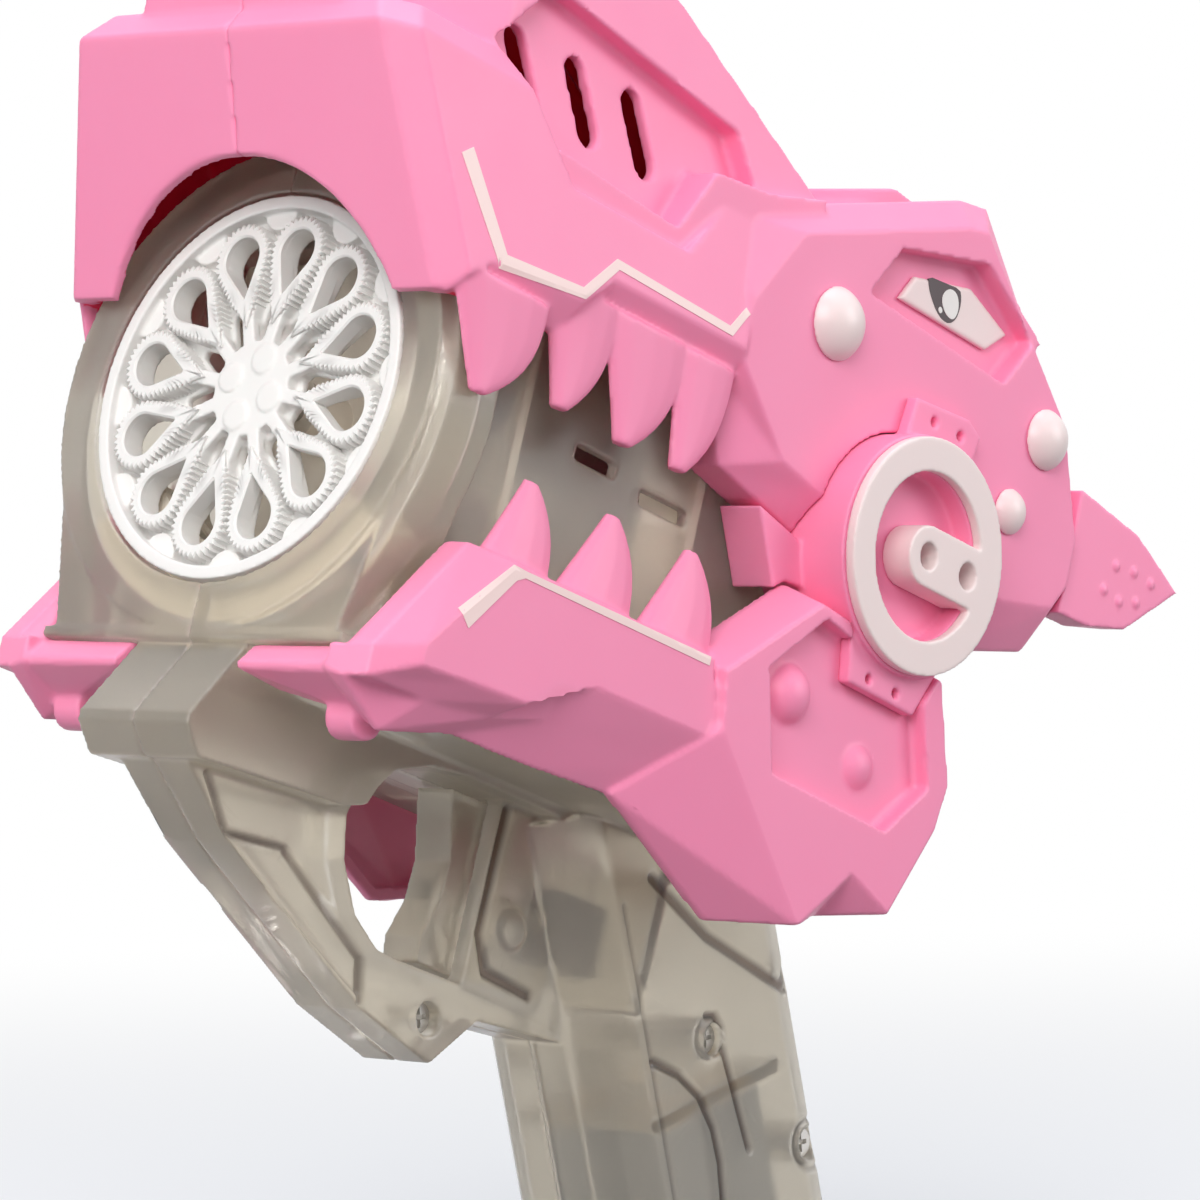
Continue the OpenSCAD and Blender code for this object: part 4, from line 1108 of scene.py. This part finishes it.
@dataclass
class Fasteners(Assembly):
    """Cross-head screws that join the body halves and hold the door.

    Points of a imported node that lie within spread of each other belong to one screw.
    """

    head_r: float = 2.6
    head_h: float = 1.6
    shank_r: float = 1.3
    slot: Place = (3.4, 0.8, 1.6)
    spread: float = 10.4

    def screws(self, rule: ScrewRule, node: str) -> bpy.types.Mesh:
        """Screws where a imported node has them.

        Args:
            rule: Tree that makes the screws.
            node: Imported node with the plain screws.

        Returns:
            One mesh with every screw of the node.
        """
        points = self.frame.coordinates(self.nodes[node].data)
        todo = np.ones(len(points), bool)
        whole = bmesh.new()
        while todo.any():
            away = points - points[todo][0]
            group = todo & (np.hypot(away[:, 0], away[:, 2]) < self.spread)
            part = points[group]
            middle = (part[:, [0, 2]].min(0) + part[:, [0, 2]].max(0)) / 2
            low, high = part[:, 1].min(), part[:, 1].max()
            mesh = rule.make(mesh_from([(0, 0, 0)], [], Matrix.Identity(4)), {
                "Head Radius": self.head_r, "Head Height": self.head_h,
                "Shank Radius": self.shank_r, "Shank Length": high - low - self.head_h,
                "Slot Size": self.slot, "Material": STEEL.material()})
            if node == "door_screw":
                mesh.transform(Matrix.Rotation(math.pi, 4, "Z"))
                seat = high - self.head_h
            else:
                seat = low + self.head_h
            mesh.transform(self.frame.matrix() @ Matrix.Translation((middle[0], seat, middle[1])))
            whole.from_mesh(mesh)
            bpy.data.meshes.remove(mesh)
            todo &= ~group
        result = bpy.data.meshes.new(node)
        whole.to_mesh(result)
        whole.free()
        return result

    def build(self) -> list[bpy.types.Object]:
        """Makes the screws that show.

        Returns:
            The pieces.
        """
        rule = ScrewRule()
        for node in ("body_screws", "door_screw"):
            self.add(self.screws(rule, node), f"{node}_crossed", STEEL, Body.HOUSING, node)
        return self.pieces


@dataclass
class InnerWorks(Assembly):
    """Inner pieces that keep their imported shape."""

    finishes: dict[str, Finish] = field(default_factory=lambda: {
        "wheel_shaft": STEEL, "output_gear": CREAM, "counter_gear": CREAM, "counter_pin": STEEL,
        "motor_pinion": BRASS, "motor_shaft": STEEL, "fan_rotor": CREAM, "motor_can": STEEL,
        "gear_frame_front": CREAM, "gear_frame_rear": CREAM, "fan_shroud": CREAM,
        "solution_tray": CREAM, "feed_tube": TUBE, "bottle_seal": RUBBER, "trigger_switch": SWITCH,
        "battery_cells": JACKET, "battery_contacts": BRASS, "head_screws": STEEL,
        "jaw_screws": STEEL})

    def build(self) -> list[bpy.types.Object]:
        """Gives each inner piece its finish.

        Returns:
            The pieces.
        """
        for name, finish in self.finishes.items():
            node = self.nodes[name]
            for slot in node.material_slots:
                slot.material = finish.material()
            self.pieces.append(node)
        return self.pieces


@dataclass(frozen=True)
class Lamp:
    """A square soft lamp: its place and side in metres, its power in watts and its colour."""

    name: str
    place: Place
    size: float
    power: float
    colour: Colour = (1.0, 1.0, 1.0)

    def add(self, aim: Place) -> None:
        """Hangs the lamp.

        Args:
            aim: Point that it is turned towards.
        """
        data = bpy.data.lights.new(self.name, "AREA")
        data.size, data.energy, data.color = self.size, self.power, self.colour
        lamp = bpy.data.objects.new(self.name, data)
        turn = (Vector(self.place) - Vector(aim)).to_track_quat("Z", "Y").to_matrix().to_4x4()
        lamp.matrix_world = Matrix.Translation(self.place) @ turn
        bpy.context.scene.collection.objects.link(lamp)


@dataclass
class Studio:
    """Camera, lamps and pale floor, in metres. The camera's axes are in the barrel frame."""

    frame: BarrelFrame
    place: Place = (-0.78190, -0.66790, 0.18189)
    right: Place = (0.6273446, -0.75080361, 0.20671885)
    down: Place = (0.3016056, -0.01048207, -0.95337516)
    ahead: Place = (0.71796435, 0.66044232, 0.2198707)
    lens: float = 180.0
    aim: Place = (0.0, 0.0, 0.15)
    lamps: tuple[Lamp, ...] = (
        Lamp("key", (-1.2, -0.9, 1.1), 1.0, 22.5, (1.0, 0.98, 0.96)),
        Lamp("top", (0.1, 0.1, 1.7), 1.2, 15.0, (0.88, 0.92, 1.0)),
        Lamp("fill", (0.9, -1.2, 0.6), 0.8, 9.0),
        Lamp("front", (-1.5, 0.5, 0.5), 0.9, 7.0),
    )
    sky: Colour = (0.94, 0.96, 1.0)
    sky_light: float = 0.25
    floor_r: float = 6.0
    floor_z: float = -0.0005
    floor_tone: Colour = (0.86, 0.86, 0.86)
    floor_bounce: Colour = (0.2, 0.2, 0.2)
    floor_fade: Flat = (0.22, 0.9)

    def camera(self) -> None:
        """Sets the camera at the photograph's place."""
        data = bpy.data.cameras.new("camera")
        data.lens = self.lens
        data.sensor_width = 36.0
        data.clip_end = 50.0
        camera = bpy.data.objects.new("camera", data)
        right, down, ahead = (self.frame.vector(*v) for v in (self.right, self.down, self.ahead))
        turn = Matrix((right, -down, -ahead)).transposed()
        camera.matrix_world = Matrix.Translation(self.place) @ turn.to_4x4()
        bpy.context.scene.collection.objects.link(camera)
        bpy.context.scene.camera = camera

    def world(self) -> None:
        """Even light all round, white where it is looked at."""
        world = bpy.data.worlds.new("studio")
        world.use_nodes = True
        bpy.context.scene.world = world
        bench = NodeBench(world.node_tree)
        glow = bench.add("ShaderNodeBackground", {
            "Color": (*self.sky, 1), "Strength": self.sky_light})
        white = bench.add("ShaderNodeBackground", {"Color": (1, 1, 1, 1)})
        mix = bench.add("ShaderNodeMixShader", {
            0: self.looked_at(bench), 1: glow.outputs[0], 2: white.outputs[0]})
        bench.add("ShaderNodeOutputWorld", {"Surface": mix.outputs[0]})

    @staticmethod
    def looked_at(bench: NodeBench) -> bpy.types.NodeSocket:
        """One where a ray is seen, mirrored or passed through, else zero.

        Args:
            bench: Tree that asks.

        Returns:
            The value.
        """
        path = bench.add("ShaderNodeLightPath").outputs
        first = bench.add("ShaderNodeMath", {
            0: path["Is Camera Ray"], 1: path["Is Glossy Ray"]}, operation="MAXIMUM")
        both = bench.add("ShaderNodeMath", {
            0: first.outputs[0], 1: path["Is Transmission Ray"]}, operation="MAXIMUM")
        return both.outputs[0]

    def floor(self) -> None:
        """Lays a pale round floor that fades into the white behind it."""
        mesh = bpy.data.meshes.new("floor")
        work = bmesh.new()
        bmesh.ops.create_circle(work, cap_ends=True, segments=96, radius=self.floor_r)
        work.to_mesh(mesh)
        work.free()
        material = bpy.data.materials.new("pale_floor")
        material.use_nodes = True
        bench = NodeBench(material.node_tree)
        place = bench.add("ShaderNodeTexCoord").outputs["Object"]
        radius = bench.add("ShaderNodeVectorMath", {0: place}, operation="LENGTH")
        fade = bench.add("ShaderNodeMapRange", {
            "Value": radius.outputs["Value"], "From Min": self.floor_fade[0],
            "From Max": self.floor_fade[1]}, interpolation_type="SMOOTHSTEP")
        mask = bench.add("ShaderNodeMath", {
            0: fade.outputs["Result"], 1: self.looked_at(bench)}, operation="MULTIPLY")
        bounced = bench.add("ShaderNodeLightPath").outputs["Is Diffuse Ray"]
        tone = bench.blend(self.floor_tone, self.floor_bounce, bounced)
        matt = bench.add("ShaderNodeBsdfDiffuse", {"Color": tone})
        glow = bench.add("ShaderNodeEmission")
        mix = bench.add("ShaderNodeMixShader", {
            0: mask.outputs[0], 1: matt.outputs[0], 2: glow.outputs[0]})
        bench.add("ShaderNodeOutputMaterial", {"Surface": mix.outputs[0]})
        mesh.materials.append(material)
        floor = bpy.data.objects.new("floor", mesh)
        floor.location.z = self.floor_z
        bpy.context.scene.collection.objects.link(floor)

    def build(self) -> None:
        """Sets up the studio."""
        bpy.context.scene.view_settings.view_transform = "Standard"
        self.camera()
        self.world()
        for lamp in self.lamps:
            lamp.add(self.aim)
        self.floor()


def main() -> None:
    """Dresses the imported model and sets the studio."""
    logging.basicConfig(level=logging.INFO, format="%(name)s: %(message)s")
    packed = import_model()
    frame = BarrelFrame.from_joints(packed["joints"])
    for kind in (Head, Jaw, Pivot, SmokyBody, BubbleWheel, Fasteners, InnerWorks):
        for piece in kind(packed["nodes"], frame).build():
            LOG.info("%s: %s, %d faces", kind.__name__, piece.name, len(piece.data.polygons))
    Studio(frame).build()


if __name__ == "__main__":
    main()
